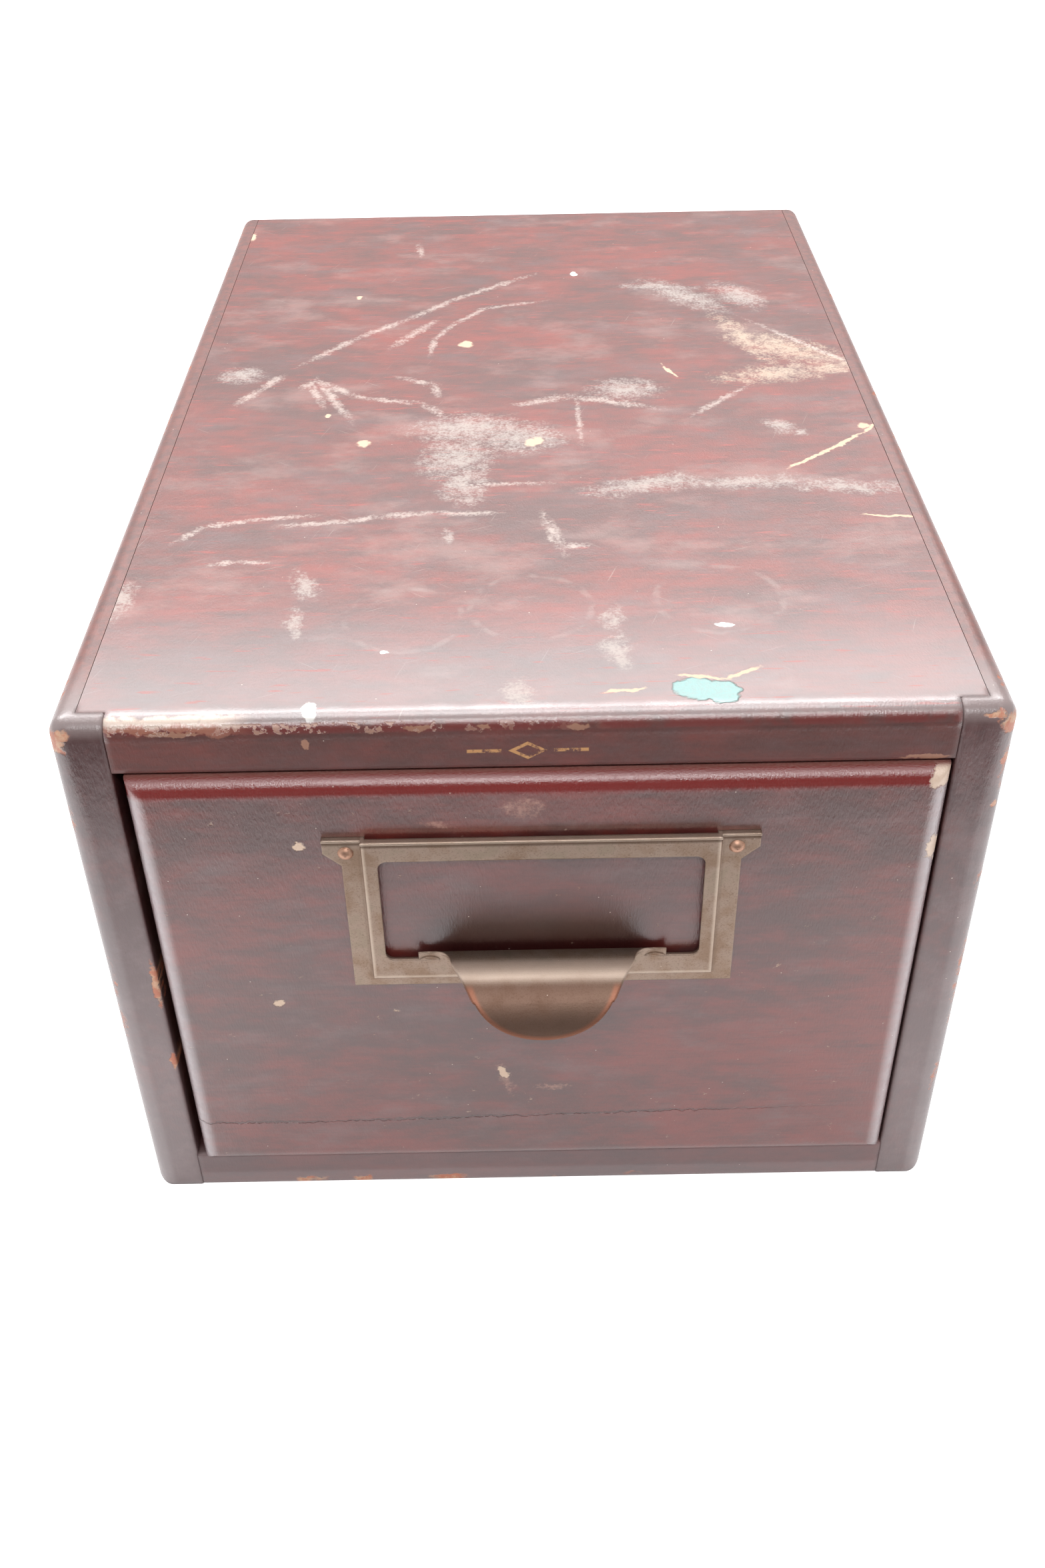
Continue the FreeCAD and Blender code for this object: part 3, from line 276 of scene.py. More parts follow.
dark_card("standing_card", (0.0, -1.15, 0.62), (2.0, 1.3), TOP_MIDDLE)
dark_card("lying_card", (0.0, -0.82, 0.001), (2.0, 1.1))


# %% [markdown]
# ## A finish and where it lies
# Every finish reads Object coordinates. The solids keep their place in their meshes, so these are
# places on the real drawer, and one unit is made a millimetre. A mark is then placed with a ruler:
# x runs to the right, y to the back and z up, from the middle of the case's underside.


# %% The start and the end of every finish
MILLIMETRES = 1000


class Finish(Graph):
    """A material whose graph starts from a place in millimetres and ends in one shader."""

    def __init__(self, name):
        self.material = bpy.data.materials.new(name)
        self.material.use_nodes = True
        super().__init__(self.material.node_tree)
        metres = self.node("ShaderNodeTexCoord", output="Object")
        self.place = self.stretch(metres, (MILLIMETRES, MILLIMETRES, MILLIMETRES))
        self.x, self.y, self.z = (
            self.node("ShaderNodeSeparateXYZ", None, {0: self.place}, axis) for axis in range(3)
        )

    def flat(self, across, up):
        """A place on a flat face: two of the three distances, as a vector with no depth."""
        return self.node("ShaderNodeCombineXYZ", None, {0: across, 1: up})

    def relief(self, height, depth, under=None):
        """A bump of `depth` millimetres where the height signal is 1."""
        inputs = {"Height": height, "Distance": depth / MILLIMETRES, "Strength": 1.0}
        if under is not None:
            inputs["Normal"] = under
        return self.node("ShaderNodeBump", None, inputs)

    def surface(self, **sockets):
        """A surface shader; names are the shader's own sockets with _ for a space."""
        inputs = {name.replace("_", " "): value for name, value in sockets.items()}
        return self.node("ShaderNodeBsdfPrincipled", None, inputs)

    def shade(self, surface, other=None, mask=0.0):
        """Ends the graph in one surface, or in a second one where the mask is 1."""
        if other is not None:
            surface = self.node("ShaderNodeMixShader", None, {0: mask, 1: surface, 2: other})
        self.node("ShaderNodeOutputMaterial", None, {"Surface": surface})
        return self.material


def dress(material, *nodes):
    """Gives the solids that material."""
    for name in nodes:
        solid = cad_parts[name]
        solid.data.materials.clear()
        solid.data.materials.append(material)
    print(f"{material.name}: {len(material.node_tree.nodes)} shader nodes, on {', '.join(nodes)}")


# %% [markdown]
# ## Marks
# A scratch, a chip and a splash of paint all start as an ellipse with a middle, two half sizes and an
# angle. A Mapping node of the Texture kind puts a place into that ellipse's own frame, where a round
# gradient falls from 1 in the middle. The nearest of many makes one mask, and noise frays its rim.


# %% Ellipses and strokes
OUTSIDE = 1.6


def stroke(half_width, *points):
    """Ellipses end to end through the points, a little long, so that they join into one line."""
    marks = []
    for (x0, y0), (x1, y1) in zip(points, points[1:]):
        length = math.hypot(x1 - x0, y1 - y0)
        angle = math.degrees(math.atan2(y1 - y0, x1 - x0))
        marks.append(((x0 + x1) / 2, (y0 + y1) / 2, length * 0.6, half_width, angle))
    return marks


def nearest(finish, place, marks):
    """How far a place is from the nearest mark: 0 in its middle, 1 on its rim and 1.6 well outside."""
    found = None
    for x, y, long, wide, angle in marks:
        inputs = {
            "Vector": place,
            "Location": (x, y, 0),
            "Rotation": (0, 0, math.radians(angle)),
            "Scale": (long * OUTSIDE, wide * OUTSIDE, 1),
        }
        local = finish.node("ShaderNodeMapping", {"vector_type": "TEXTURE"}, inputs)
        gradient = {"gradient_type": "SPHERICAL"}
        depth = finish.node("ShaderNodeTexGradient", gradient, {"Vector": local}, "Fac")
        found = depth if found is None else found.most(depth)
    return (1 - found) * OUTSIDE


def frayed(finish, place, amount, size):
    """The place, pushed about by noise, so that what is drawn there has an uneven rim."""
    push = finish.node(
        "ShaderNodeVectorMath",
        {"operation": "SUBTRACT"},
        {0: finish.noise(place, size, 2.0, 0.6, "Color"), 1: (0.5, 0.5, 0.5)},
    )
    inputs = {0: finish.stretch(push, (amount * 2, amount * 2, 0)), 1: place}
    return finish.node("ShaderNodeVectorMath", {"operation": "ADD"}, inputs)


# %% [markdown]
# ## Stained mahogany
# The case and the drawer front are stained dark red under a varnish that has bloomed grey with age.
# Grain is noise pulled out long one way: squeeze the place along the grain, and the lumps of the
# noise stretch into fibres. Rubbed places are redder, and bloomed places greyer.


# %% Mahogany colours and sizes
BLOOM = paint(112, 84, 84)
BARE_WOOD = paint(226, 178, 142)
BARE_EDGE = paint(206, 122, 88)
DUST = paint(226, 208, 194)
PORE = paint(64, 26, 24)
GRAIN_LENGTH = 30.0
GRAIN_WIDTH = 1.6
ALONG = {"x": (1, 0, 0), "y": (0, 1, 0), "z": (0, 0, 1)}


def grain_frame(finish, direction, squeeze=GRAIN_WIDTH / GRAIN_LENGTH):
    """The place squeezed along the grain, so that noise there is drawn out into fibres."""
    return finish.stretch(finish.place, tuple(squeeze if part else 1.0 for part in ALONG[direction]))


# %% The stained wood with its bloom
def stained_wood(finish, direction, redness, bloom, deep, red_tone):
    """Colour of sound varnished wood, and the fibre signal that the relief reuses."""
    fibres = grain_frame(finish, direction)
    streaks = finish.noise(fibres, GRAIN_WIDTH, 3.0, 0.6)
    mottle = finish.noise(grain_frame(finish, direction, 0.36), 3.6, 6.0, 0.66)
    patches = finish.noise(grain_frame(finish, direction, 0.6), 24.0, 4.0, 0.6)
    level = 0.66 - redness * 0.3
    red = (mottle * 0.5 + patches * 0.5 + (streaks - 0.5) * 0.08).fade(level - 0.14, level + 0.2)
    colour = finish.mix(red, deep, red_tone)
    clouds = finish.noise(grain_frame(finish, direction, 0.5), 9.0, 5.0, 0.66)
    veil = (clouds + (streaks - 0.5) * 0.12).fade(0.62 - bloom * 0.3, 0.9 - bloom * 0.3)
    colour = finish.mix(veil * 0.6, colour, BLOOM)
    grit = finish.noise(finish.place, 0.6, 3.0, 0.7)
    colour = finish.mix(grit.fade(0.5, 0.72) * 0.16, colour, PORE)
    pores = finish.noise(grain_frame(finish, direction, 0.05), 0.5, 2.0, 0.5).fade(0.58, 0.72)
    return finish.mix(pores * 0.22, colour, PORE), streaks


# %% Specks of dust and lint caught in the varnish
def specks(finish, spacing, size, share):
    """Tiny round specks, one to a cell, of which only a share is kept."""
    cells = {"Vector": finish.place, "Scale": 1 / spacing, "Randomness": 1.0}
    reach = finish.node("ShaderNodeTexVoronoi", None, cells, "Distance")
    lot = finish.node("ShaderNodeTexVoronoi", None, cells, "Color")
    picked = finish.node("ShaderNodeSeparateColor", None, {0: lot}, 0)
    lucky = picked.fade(1 - share, 1 - share + 0.01)
    return reach.fade(size / spacing, size / spacing * 0.5) * lucky


# %% Fine scratches, all over and every way
def fine_scratches(finish, place, amount):
    """Hair lines: noise drawn out long, turned, and kept only where it is highest."""
    found = None
    for angle, shift in ((24, 0.0), (-38, 57.0), (71, 131.0)):
        inputs = {
            "Vector": place,
            "Location": (shift, 0, 0),
            "Rotation": (0, 0, math.radians(angle)),
            "Scale": (14, 0.55, 1),
        }
        turned = finish.node("ShaderNodeMapping", {"vector_type": "TEXTURE"}, inputs)
        texture = {"Vector": turned, "Scale": 1.0, "Detail": 1.0}
        lines = finish.node("ShaderNodeTexNoise", None, texture, "Fac")
        found = lines if found is None else found.most(lines)
    return found.fade(0.78 - amount * 0.1, 0.88 - amount * 0.1)


# %% [markdown]
# ## Varnish
# Two surface shaders are mixed. One is hazy, for the broad faces. The other is clear and bends light
# more, for edges that hands kept polished. Both take their normal from a Bevel node, which looks round
# the corner of the mesh and eases sharp edges and flat facets into one soft curve, so that light runs
# along a rounded edge in an unbroken line. The Bump node then adds the fine crazing on top of that.
# At a tight seam between two boards the easing is switched off, or the seam would look like a groove.


# %% The varnish over it all
EASED_RADIUS = 0.0016
CLEAR_INDEX = 1.9
CLEAR_SHINE = 0.8


def varnished(finish, colour, dull, polish, height, depth, gloss_index, shine, seam=None):
    """Hazy old varnish; `dull` is rubbed matt, and `polish` is where the edges stayed clear."""
    eased = finish.node("ShaderNodeBevel", {"samples": 6}, {"Radius": EASED_RADIUS})
    if seam is not None:
        crisp = finish.node("ShaderNodeNewGeometry", None, {}, "Normal")
        eased = finish.node("ShaderNodeMix", {"data_type": "VECTOR"}, {0: seam, 4: eased, 5: crisp}, 1)
    relief = finish.relief(height, depth, eased)
    hazy = finish.surface(
        Base_Color=colour,
        Roughness=finish.blend(dull, 0.34, 0.7),
        IOR=gloss_index,
        Specular_IOR_Level=shine,
        Normal=relief,
    )
    clear = finish.surface(
        Base_Color=colour,
        Roughness=finish.blend(dull, 0.2, 0.45),
        IOR=CLEAR_INDEX,
        Specular_IOR_Level=CLEAR_SHINE,
        Normal=relief,
    )
    return finish.shade(hazy, clear, polish)


# %% [markdown]
# ## The top board
# This is the face that lived: boxes were slid over it, paint dripped on it, and hands rubbed its front
# edge down to bare wood. Each kind of damage is one list of marks, in millimetres from the middle of
# the case, and each list becomes one mask.


# %% Marks on the top, seen from above
PALE_LINES = [
    *stroke(1.1, (-52.8, 22.0), (-41.6, 36.2), (-29.7, 47.7), (-18.3, 60.5), (-0.5, 75.3)),
    *stroke(1.3, (-67.9, -2.8), (-62.9, 5.4), (-59.1, 12.6)),
    *stroke(1.2, (-53.2, 5.5), (-50.5, 9.7), (-47.2, 7.1), (-41.1, 1.4), (-37.9, -1.2), (-26.7, -3.5)),
    *stroke(1, (-51.3, 7.3), (-47.8, -3.7)),
    *stroke(1.2, (-48.8, 7.2), (-41.2, -10.9)),
    *stroke(1.2, (-29.4, 10.0), (-22.1, 6.6), (-20.3, -0.2)),
    *stroke(1.2, (-23.7, -4.8), (-19.5, -10.7)),
    *stroke(1.3, (-32.1, 31.0), (-23.5, 44.5)),
    *stroke(0.87, (-23.3, 25.2), (-22.5, 33.2), (-18.4, 42.8), (-9.7, 54.1), (3.3, 57.9)),
    *stroke(1, (-49.4, -62.5), (-37.0, -61.2), (-31.4, -59.1), (-19.9, -58.3), (-8.4, -58.8)),
    *stroke(0.87, (-71.2, -68.0), (-66.5, -62.4), (-57.1, -59.8), (-46.4, -58.5)),
    *stroke(0.87, (-10.3, -45.8), (3.4, -45.6)),
    *stroke(1.4, (-1.1, -5.8), (10.9, -2.1), (28.6, -8.5)),
    *stroke(0.72, (12.3, -5.0), (12.5, -23.9)),
    *stroke(1, (40.1, -11.8), (50.9, -0.3)),
    *stroke(0.87, (60.9, 39.2), (80.1, 14.0)),
    *stroke(0.72, (-62.5, -77.7), (-57.7, -76.8), (-51.6, -77.6)),
    *stroke(1.3, (3.7, -61.4), (6.7, -73.7), (11.4, -72.5)),
    *stroke(1, (-29.4, 103.0), (-28.4, 95.0)),
]
SCUFFS = [
    (43.0, 60.5, 13.0, 5.0, -48.0),
    (37.0, 67.0, 10.0, 2.4, -8.0),
    (58.0, 60.0, 9.0, 5.0, -60.0),
    (-13.0, -19.0, 12.0, 7.5, 0.0),
    (-2.0, -23.0, 9.0, 7.5, 0.0),
    (-15.0, -33.0, 7.5, 10.0, 0.0),
    (-13.5, -46.0, 4.5, 8.5, 0.0),
    (25.0, -47.5, 12.0, 3.4, 12.0),
    (46.0, -47.0, 15.0, 2.8, 0.0),
    (68.0, -49.5, 12.0, 2.6, -6.0),
    (-79.0, -90.0, 3.6, 7.0, 0.0),
    (15.7, -111.5, 2.6, 5.2, 0.0),
    (15.2, -100.5, 1.6, 4.0, 0.0),
    (-69.0, 14.0, 5.0, 4.5, 0.0),
    (24.0, 1.5, 8.0, 5.0, 0.0),
    (-44.3, -99.5, 1.8, 4.6, 8.0),
    (-43.6, -86.0, 2.0, 5.0, 14.0),
    (-2.4, -123.5, 2.4, 3.4, 0.0),
    (57.5, -20.5, 3.6, 2.2, -40.0),
    (62.6, -23.5, 1.6, 1.6, 0.0),
    (-16.4, -67.8, 0.8, 3.6, 8.0),
]
CREAM_SCUFFS = [
    (55.5, 31.0, 15.0, 3.4, -72.0),
    (66.0, 24.0, 15.0, 6.0, -38.0),
    (61.0, 9.0, 13.0, 4.6, 8.0),
    (76.0, 12.0, 6.0, 3.0, 10.0),
    *stroke(1.0, (58.0, 34.0), (70.0, 22.0), (80.0, 14.0)),
]
BARE_SPOTS = [
    (82.4, 4.5, 1.7, 8.0, 0.0),
    (80.8, -9.0, 0.8, 4.0, 0.0),
    *stroke(0.55, (57.5, -40.2), (66.1, -33.2), (76.2, -24.1), (81.2, -17.6)),
    (76.8, -20.8, 1.2, 1.4, 0.0),
    *stroke(0.5, (34.0, 14.6), (36.9, 8.4)),
    *stroke(0.45, (69.7, -62.3), (79.6, -63.6), (81.2, -57.4)),
    (81.6, -113.1, 1.3, 2.6, 0.0),
    (-36.5, -25.0, 1.5, 1.7, 0.0),
    (-14.3, 30.1, 1.8, 2.0, 0.0),
    (-79.1, 112.6, 1.3, 3.0, 0.0),
    (-43.9, 63.1, 0.8, 1.3, 0.0),
    *stroke(0.55, (26.2, -119.5), (34.2, -120.8), (40.4, -117.6)),
    *stroke(0.5, (13.2, -124.3), (19.6, -123.5)),
    (2.0, -26.0, 2.4, 1.8, 50.0),
    (-45.7, -10.2, 0.6, 0.9, 0.0),
]
WHITE_PAINT = [
    (35.9, -103.1, 1.9, 1.0, -8.0),
    (-38.6, -128.4, 1.3, 2.8, 12.0),
    (14.4, 78.1, 1.2, 2.0, 0.0),
    (-26.6, -110.7, 0.8, 0.5, 0.0),
]
EDGE_CHIPS = [
    (-19.8, 122.9, 2.4, 0.6, 0.0),
    (7.9, 122.7, 2.2, 0.6, 0.0),
    (-8.5, 123.0, 1.2, 0.4, 0.0),
    (-39.4, 120.1, 0.8, 1.1, 0.0),
    (68.5, 115.0, 4.6, 0.5, 0.0),
    (-62.0, 122.6, 5.0, 0.5, 0.0),
]
TEAL_PAINT = [
    (28.9, -123.9, 4.3, 3.4, -22.0),
    (33.0, -124.7, 3.5, 3.5, 10.0),
]
CUP_RINGS = [
    (-23.6, -99.4, 11.0, 11.0, 0.0),
    (0.2, -95.9, 11.5, 11.5, 0.0),
    (36.0, -94.0, 12.0, 12.0, 0.0),
]
TOP_MARKS = {
    "pale lines": PALE_LINES,
    "scuffs": SCUFFS,
    "cream scuffs": CREAM_SCUFFS,
    "bare spots": BARE_SPOTS,
    "edge chips": EDGE_CHIPS,
    "white paint": WHITE_PAINT,
    "teal paint": TEAL_PAINT,
    "cup rings": CUP_RINGS,
}
print("ellipses on the top:", {kind: len(marks) for kind, marks in TOP_MARKS.items()})


# %% [markdown]
# ## Edges
# Wear starts at the edges, so a finish must know how near they are. For two faces that meet, add how
# far a place is behind each of them: the sum is 0 on the sharp corner and grows away from it.


# %% How near the edges of a board are
def corners(node):
    """The lowest and highest corner of a solid, in millimetres."""
    low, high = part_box(node)
    return low * MILLIMETRES, high * MILLIMETRES


def near_edges(finish, node, *pairs):
    """Millimetres behind the nearest of the edges, each named by its two faces, such as "-y+z"."""
    low, high = corners(node)
    places = {"x": finish.x, "y": finish.y, "z": finish.z}
    found = None
    for pair in pairs:
        behind = []
        for side, axis in (pair[:2], pair[2:]):
            wall = getattr(high if side == "+" else low, axis)
            behind.append(wall - places[axis] if side == "+" else places[axis] - wall)
        near = behind[0] + behind[1]
        found = near if found is None else found.least(near)
    return found


TOP_LOW, TOP_HIGH = corners("case_top")
print("top board:", [round(side, 1) for side in TOP_HIGH - TOP_LOW], "mm")


# %% How a scuff breaks up
COARSE_BREAKS = 2.8
FINE_BREAKS = 3.4


def rubbed_out(near, crumble, fine):
    """A mask for scuffs and scratches: broken inside by noise, and never far outside the mark."""
    broken = (near + (crumble - 0.5) * COARSE_BREAKS + (fine - 0.5) * FINE_BREAKS).fade(1.5, -0.3)
    return broken * near.fade(1.58, 1.0)


# %% [markdown]
# ## The top board, layer by layer
# First come the noises that every mask borrows from. `nudged` and `ragged` are the place pushed about
# a little and a lot, so one list of smooth ellipses gives crisp chips or torn scuffs.


# %% Wood and noises of the top board
top = Finish("mahogany_top")
colour, streaks = stained_wood(top, "x", 0.5, 0.52, paint(96, 58, 53), paint(148, 62, 51))
from_above = top.flat(top.x, top.y)
on_top = top.z.fade(123.6, 124.8)
nudged = frayed(top, from_above, 1.0, 2.4)
ragged = frayed(top, from_above, 3.4, 7.0)
fine = top.noise(top.place, 0.6, 3.0, 0.7)
crumble = top.noise(top.place, 2.6, 4.0, 0.65)
soft = top.noise(top.place, 5.0, 2.0, 0.5)
print("top board, wood and noises:", len(top.tree.nodes), "nodes")


# %% Masks of its scratches, scuffs, spots and stains
hairs = fine_scratches(top, from_above, 0.5)
pale = rubbed_out(nearest(top, nudged, PALE_LINES), crumble, fine)
scuffed = rubbed_out(nearest(top, ragged, SCUFFS), crumble, fine)
cream = rubbed_out(nearest(top, ragged, CREAM_SCUFFS), crumble, fine)
bare = (nearest(top, nudged, BARE_SPOTS) + (crumble - 0.5) * 1.6).fade(1.2, 0.7)
white = (nearest(top, nudged, WHITE_PAINT) + (crumble - 0.5) * 0.5).fade(1.0, 0.8)
teal = (nearest(top, nudged, TEAL_PAINT) + (crumble - 0.5) * 0.4).fade(1.05, 0.85)
off_ring = (1 - nearest(top, frayed(top, from_above, 0.5, 6.0), CUP_RINGS)).size()
rings = off_ring.fade(0.09, 0.02) * soft.fade(0.42, 0.6)
haze = top.noise(grain_frame(top, "x", 0.6), 13.0, 5.0, 0.62).fade(0.5, 0.72)
flecks = top.noise(grain_frame(top, "x", 0.14), 1.1, 2.0, 0.6).fade(0.62, 0.72) * (1 - haze)
print("with its marks:", len(top.tree.nodes), "nodes")


# %% [markdown]
# A worn gilt ornament sits in the middle of the front edge: a thin rule, broken by a hollow lozenge.
# The rule is a slot between three distances. The lozenge is the sum of two of them, because where
# |x| / a + |z| / b stays the same, the points form a diamond.


# %% Mask of the gilt rule and lozenge
GILT_MIDDLE = (-0.9, 118.0)
across = (top.x - GILT_MIDDLE[0]).size()
above = (top.z - GILT_MIDDLE[1]).size()
rule = (0.35 - above).least(10.6 - across).least(across - 4.6)
lozenge = 1 - (across / 3.4 + above / 1.9)
hollow = lozenge.fade(0.42, 0.34)
gilt = rule.fade(-0.1, 0.1).most(lozenge.fade(-0.05, 0.05) * hollow) * top.y.fade(-130.6, -131.3)
gilt = gilt * (crumble * 0.7 + fine * 0.4).fade(0.44, 0.56)
print("with its gilding:", len(top.tree.nodes), "nodes")


# %% [markdown]
# The front edge is rounded, and hands wore it most. `over_edge` is 0 halfway round it, positive towards
# the top and negative towards the front, so each band of wear is a range of it, and so is the painted
# reflection line low on the edge.


# %% Masks of the worn front edge and its painted reflection line
over_edge = top.y + top.z + 6.5
uneven = over_edge + (soft - 0.5) * 5.0 + (crumble - 0.5) * 2.6
worn = uneven.fade(-2.2, -1.6) * uneven.fade(3.0, 1.8)
worn = worn * top.x.fade(-47.0, -56.0) * soft.fade(0.34, 0.42)
nibbled = (over_edge + (crumble - 0.5) * 4.0).fade(-2.4, -2.0) * over_edge.fade(0.2, -0.5)
nibbled = nibbled * crumble.fade(0.53, 0.58) * top.x.fade(22.0, -34.0)
# painted reflection: a thin deep red line low on the rounded edge, where it mirrors the dark room
painted_reflection_line = over_edge.fade(-2.9, -2.2) * over_edge.fade(0.6, -0.6) * soft.fade(0.3, 0.5)
edge_chips = nearest(top, frayed(top, top.flat(top.x, top.z), 0.7, 1.3), EDGE_CHIPS).fade(1.1, 0.8)
polish = (over_edge + (soft - 0.5) * 1.5).fade(5.0, 1.6) * over_edge.fade(-4.4, -3.0)
print("with its worn edge:", len(top.tree.nodes), "nodes")


# %% [markdown]
# Now the colours go on in the order in which they happened: haze in the varnish, then scratches and
# scuffs, the wear that cut through to the wood, and last the paint that was spilt on it. Painted light
# goes in among them: a pale painted sheen towards the front, a painted red reflection line on the
# rounded edge, and painted shade on the board's front face.


# %% Lay the colours over one another
# painted sheen: the top made paler and greyer towards its front edge
painted_sheen_near_front = top.y.fade(-84.0, -129.0) * on_top
# painted shade: the board's front face made darker
painted_shade_front_strip = top.y.fade(-129.4, -131.4)
front_face = top.y.fade(-130.0, -131.0)
rubbed = (scuffed * 0.7).most(hairs * 0.24).most(rings * 0.14) * on_top
creamy = (over_edge + (crumble - 0.5) * 5.0).fade(-1.2, 0.4)
worn_wood = top.mix(creamy, paint(204, 132, 106), paint(242, 218, 200))
colour = top.layered(
    colour,
    (haze * on_top * 0.34, paint(178, 142, 134)),
    (painted_sheen_near_front * 0.42, paint(176, 172, 172)),
    (flecks * on_top * 0.4, paint(186, 66, 54)),
    (rubbed, paint(196, 184, 176)),
    (cream * on_top * 0.72, paint(216, 192, 168)),
    (pale * on_top * 0.66, paint(214, 196, 186)),
    (painted_reflection_line * 0.75, paint(140, 30, 24)),
    (nibbled * 0.85, paint(214, 156, 126)),
    (worn * 0.9, worn_wood),
    (bare * on_top * 0.9, paint(232, 200, 170)),
    (edge_chips * front_face * 0.9, paint(206, 150, 120)),
    (white * on_top, paint(240, 238, 232)),
    (teal * on_top * (0.56 + fine * 0.5), paint(134, 186, 182)),
    (painted_shade_front_strip * 0.45, paint(84, 56, 54)),
    (gilt * 0.85, paint(206, 152, 96)),
    (specks(top, 3.0, 0.16, 0.2) * 0.8, DUST),
)
print("with its colours:", len(top.tree.nodes), "nodes")


# %% Raise the paint, sink the chips and varnish the top
crazing = top.noise(top.stretch(top.place, (1.0, 0.6, 0.28)), 0.36, 3.0, 0.6)
height = crazing * 0.7 + streaks * 0.2 + fine * 0.25 - worn * 0.4 - nibbled * 0.8 + teal * on_top * 3.0
dull = (scuffed.most(cream) * on_top * 0.35).most(bare * on_top * 0.6).most(nibbled)
seam = (TOP_HIGH.x - top.x).least(top.x - TOP_LOW.x).fade(2.6, 1.8)
seam = seam * on_top * top.y.fade(-127.0, -124.0)
dress(varnished(top, colour, dull, polish, height, 0.07, 1.5, 0.54, seam), "case_top")


# %% [markdown]
# ## The drawer front
# The same stain and varnish, but held upright, where the varnish has crazed into fine upright cracks.
# Its rounded rim is polished clear along the top, with a deep red band that is partly the clear stain
# and partly a painted reflection of the dark room, and a pale painted highlight runs down both sides.


# %% Marks on the drawer front, seen from the front
FRONT_CHIPS = [
    (-42.7, 99.0, 1.2, 1.0, 0.0),
    (-50.5, 58.8, 0.9, 1.0, 0.0),
    (72.2, 95.9, 1.2, 3.0, 0.0),
    (-7.0, 37.5, 0.9, 1.8, 20.0),
    (72.0, 112.0, 2.0, 2.6, 0.0),
]
FRONT_SCUFFS = [
    (-1.8, 106.8, 3.4, 2.0, 0.0),
    *stroke(0.6, (-19.5, 103.6), (-14.8, 103.2)),
    *stroke(1.2, (-7.7, 39.2), (-5.4, 32.0)),
    (3.2, 33.0, 3.4, 0.9, 0.0),
]
CRACK = stroke(0.32, (-71.2, 23.2), (-43.2, 23.1), (-1.1, 24.1), (40.8, 25.0), (71.4, 25.7))
print("marks on the front:", len(FRONT_CHIPS) + len(FRONT_SCUFFS) + len(CRACK))


# %% Wood, noises and masks of the drawer front
front = Finish("mahogany_front")
colour, streaks = stained_wood(front, "x", 0.58, 0.46, paint(82, 42, 39), paint(130, 50, 42))
from_front = front.flat(front.x, front.z)
nudged = frayed(front, from_front, 0.9, 2.0)
fine = front.noise(front.place, 0.7, 3.0, 0.65)
crumble = front.noise(front.place, 2.4, 4.0, 0.65)
chips = (nearest(front, nudged, FRONT_CHIPS) + (crumble - 0.5) * 2.4).fade(1.2, 0.8)
smudges = rubbed_out(nearest(front, nudged, FRONT_SCUFFS), crumble, fine)
crack = nearest(front, nudged, CRACK).fade(1.2, 0.5) * front.x.fade(75.0, 20.0)
on_front = front.y.fade(-131.0, -132.6)
# deep red along the rim's top: clear stain, and a painted reflection of the dark room
red_band_and_painted_reflection = (front.z + (crumble - 0.5) * 1.2).fade(109.4, 111.0)
side_rims = near_edges(front, "drawer_front", "-x-y", "+x-y")
polish = front.z.fade(109.6, 111.0) * front.y.fade(-129.6, -131.0)
polish = polish.most(side_rims.fade(4.0, 2.6))
# painted highlight: the rounded sides made pale, though they lie in the posts' shade
painted_highlight_sides = side_rims.fade(3.6, 1.0)
print("drawer front, masks:", len(front.tree.nodes), "nodes")


# %% [markdown]
# The wood inside the card window is painted a little darker, and darkest under the finger tongue, where
# no
# light gets in: that is painted shadow. Both places are boxes made from two distances, whichever is the
# shorter.


# %% Shade behind the card window and the tongue
WINDOW_MIDDLE = (1.2, 84.0)
WINDOW_HALF = (29.7, 12.3)
across = (front.x - WINDOW_MIDDLE[0]).size()
above = (front.z - WINDOW_MIDDLE[1]).size()
behind_card = (WINDOW_HALF[0] - across).least(WINDOW_HALF[1] - above).fade(-2.0, 1.0)
# painted shadow: the wood under the finger tongue made nearly black
painted_shadow_under_tongue = behind_card * front.z.fade(89.0, 77.0) * across.fade(27.0, 16.0)
dusty = front.y.fade(-132.2, -131.0) * front.z.fade(113.0, 113.5)
print("with its shaded places:", len(front.tree.nodes), "nodes")


# %% Lay the colours on the drawer front and varnish it
# painted shade: the drawer front made dark behind its front edge, under the case top
painted_shade_hidden_top = front.y.fade(-131.0, -128.0)
colour = front.layered(
    colour,
    (behind_card * 0.3, paint(74, 30, 30)),
    (painted_shadow_under_tongue * 0.9, paint(44, 12, 12)),
    (painted_highlight_sides * (0.4 + crumble * 0.7), paint(186, 172, 176)),
    (red_band_and_painted_reflection * 0.88, paint(134, 26, 20)),
    (smudges * on_front * 0.45, paint(206, 160, 142)),
    (crack * on_front * 0.55, paint(56, 26, 24)),
    (chips * on_front, paint(226, 196, 172)),
    (painted_shade_hidden_top * 0.8, paint(74, 36, 32)),
    (dusty * (0.04 + fine * 0.3), DUST),
    (specks(front, 2.4, 0.14, 0.26) * 0.8, DUST),
)
crazing = front.noise(front.stretch(front.place, (1.0, 1.0, 0.28)), 0.36, 3.0, 0.6)
height = crazing * 1.1 - crack * 2.0 - chips * on_front * 1.5 + streaks * 0.2
dull = (chips * on_front).most(dusty * 0.7).most(smudges * on_front * 0.5)
dress(varnished(front, colour, dull, polish, height, 0.08, 1.62, 0.92), "drawer_front")
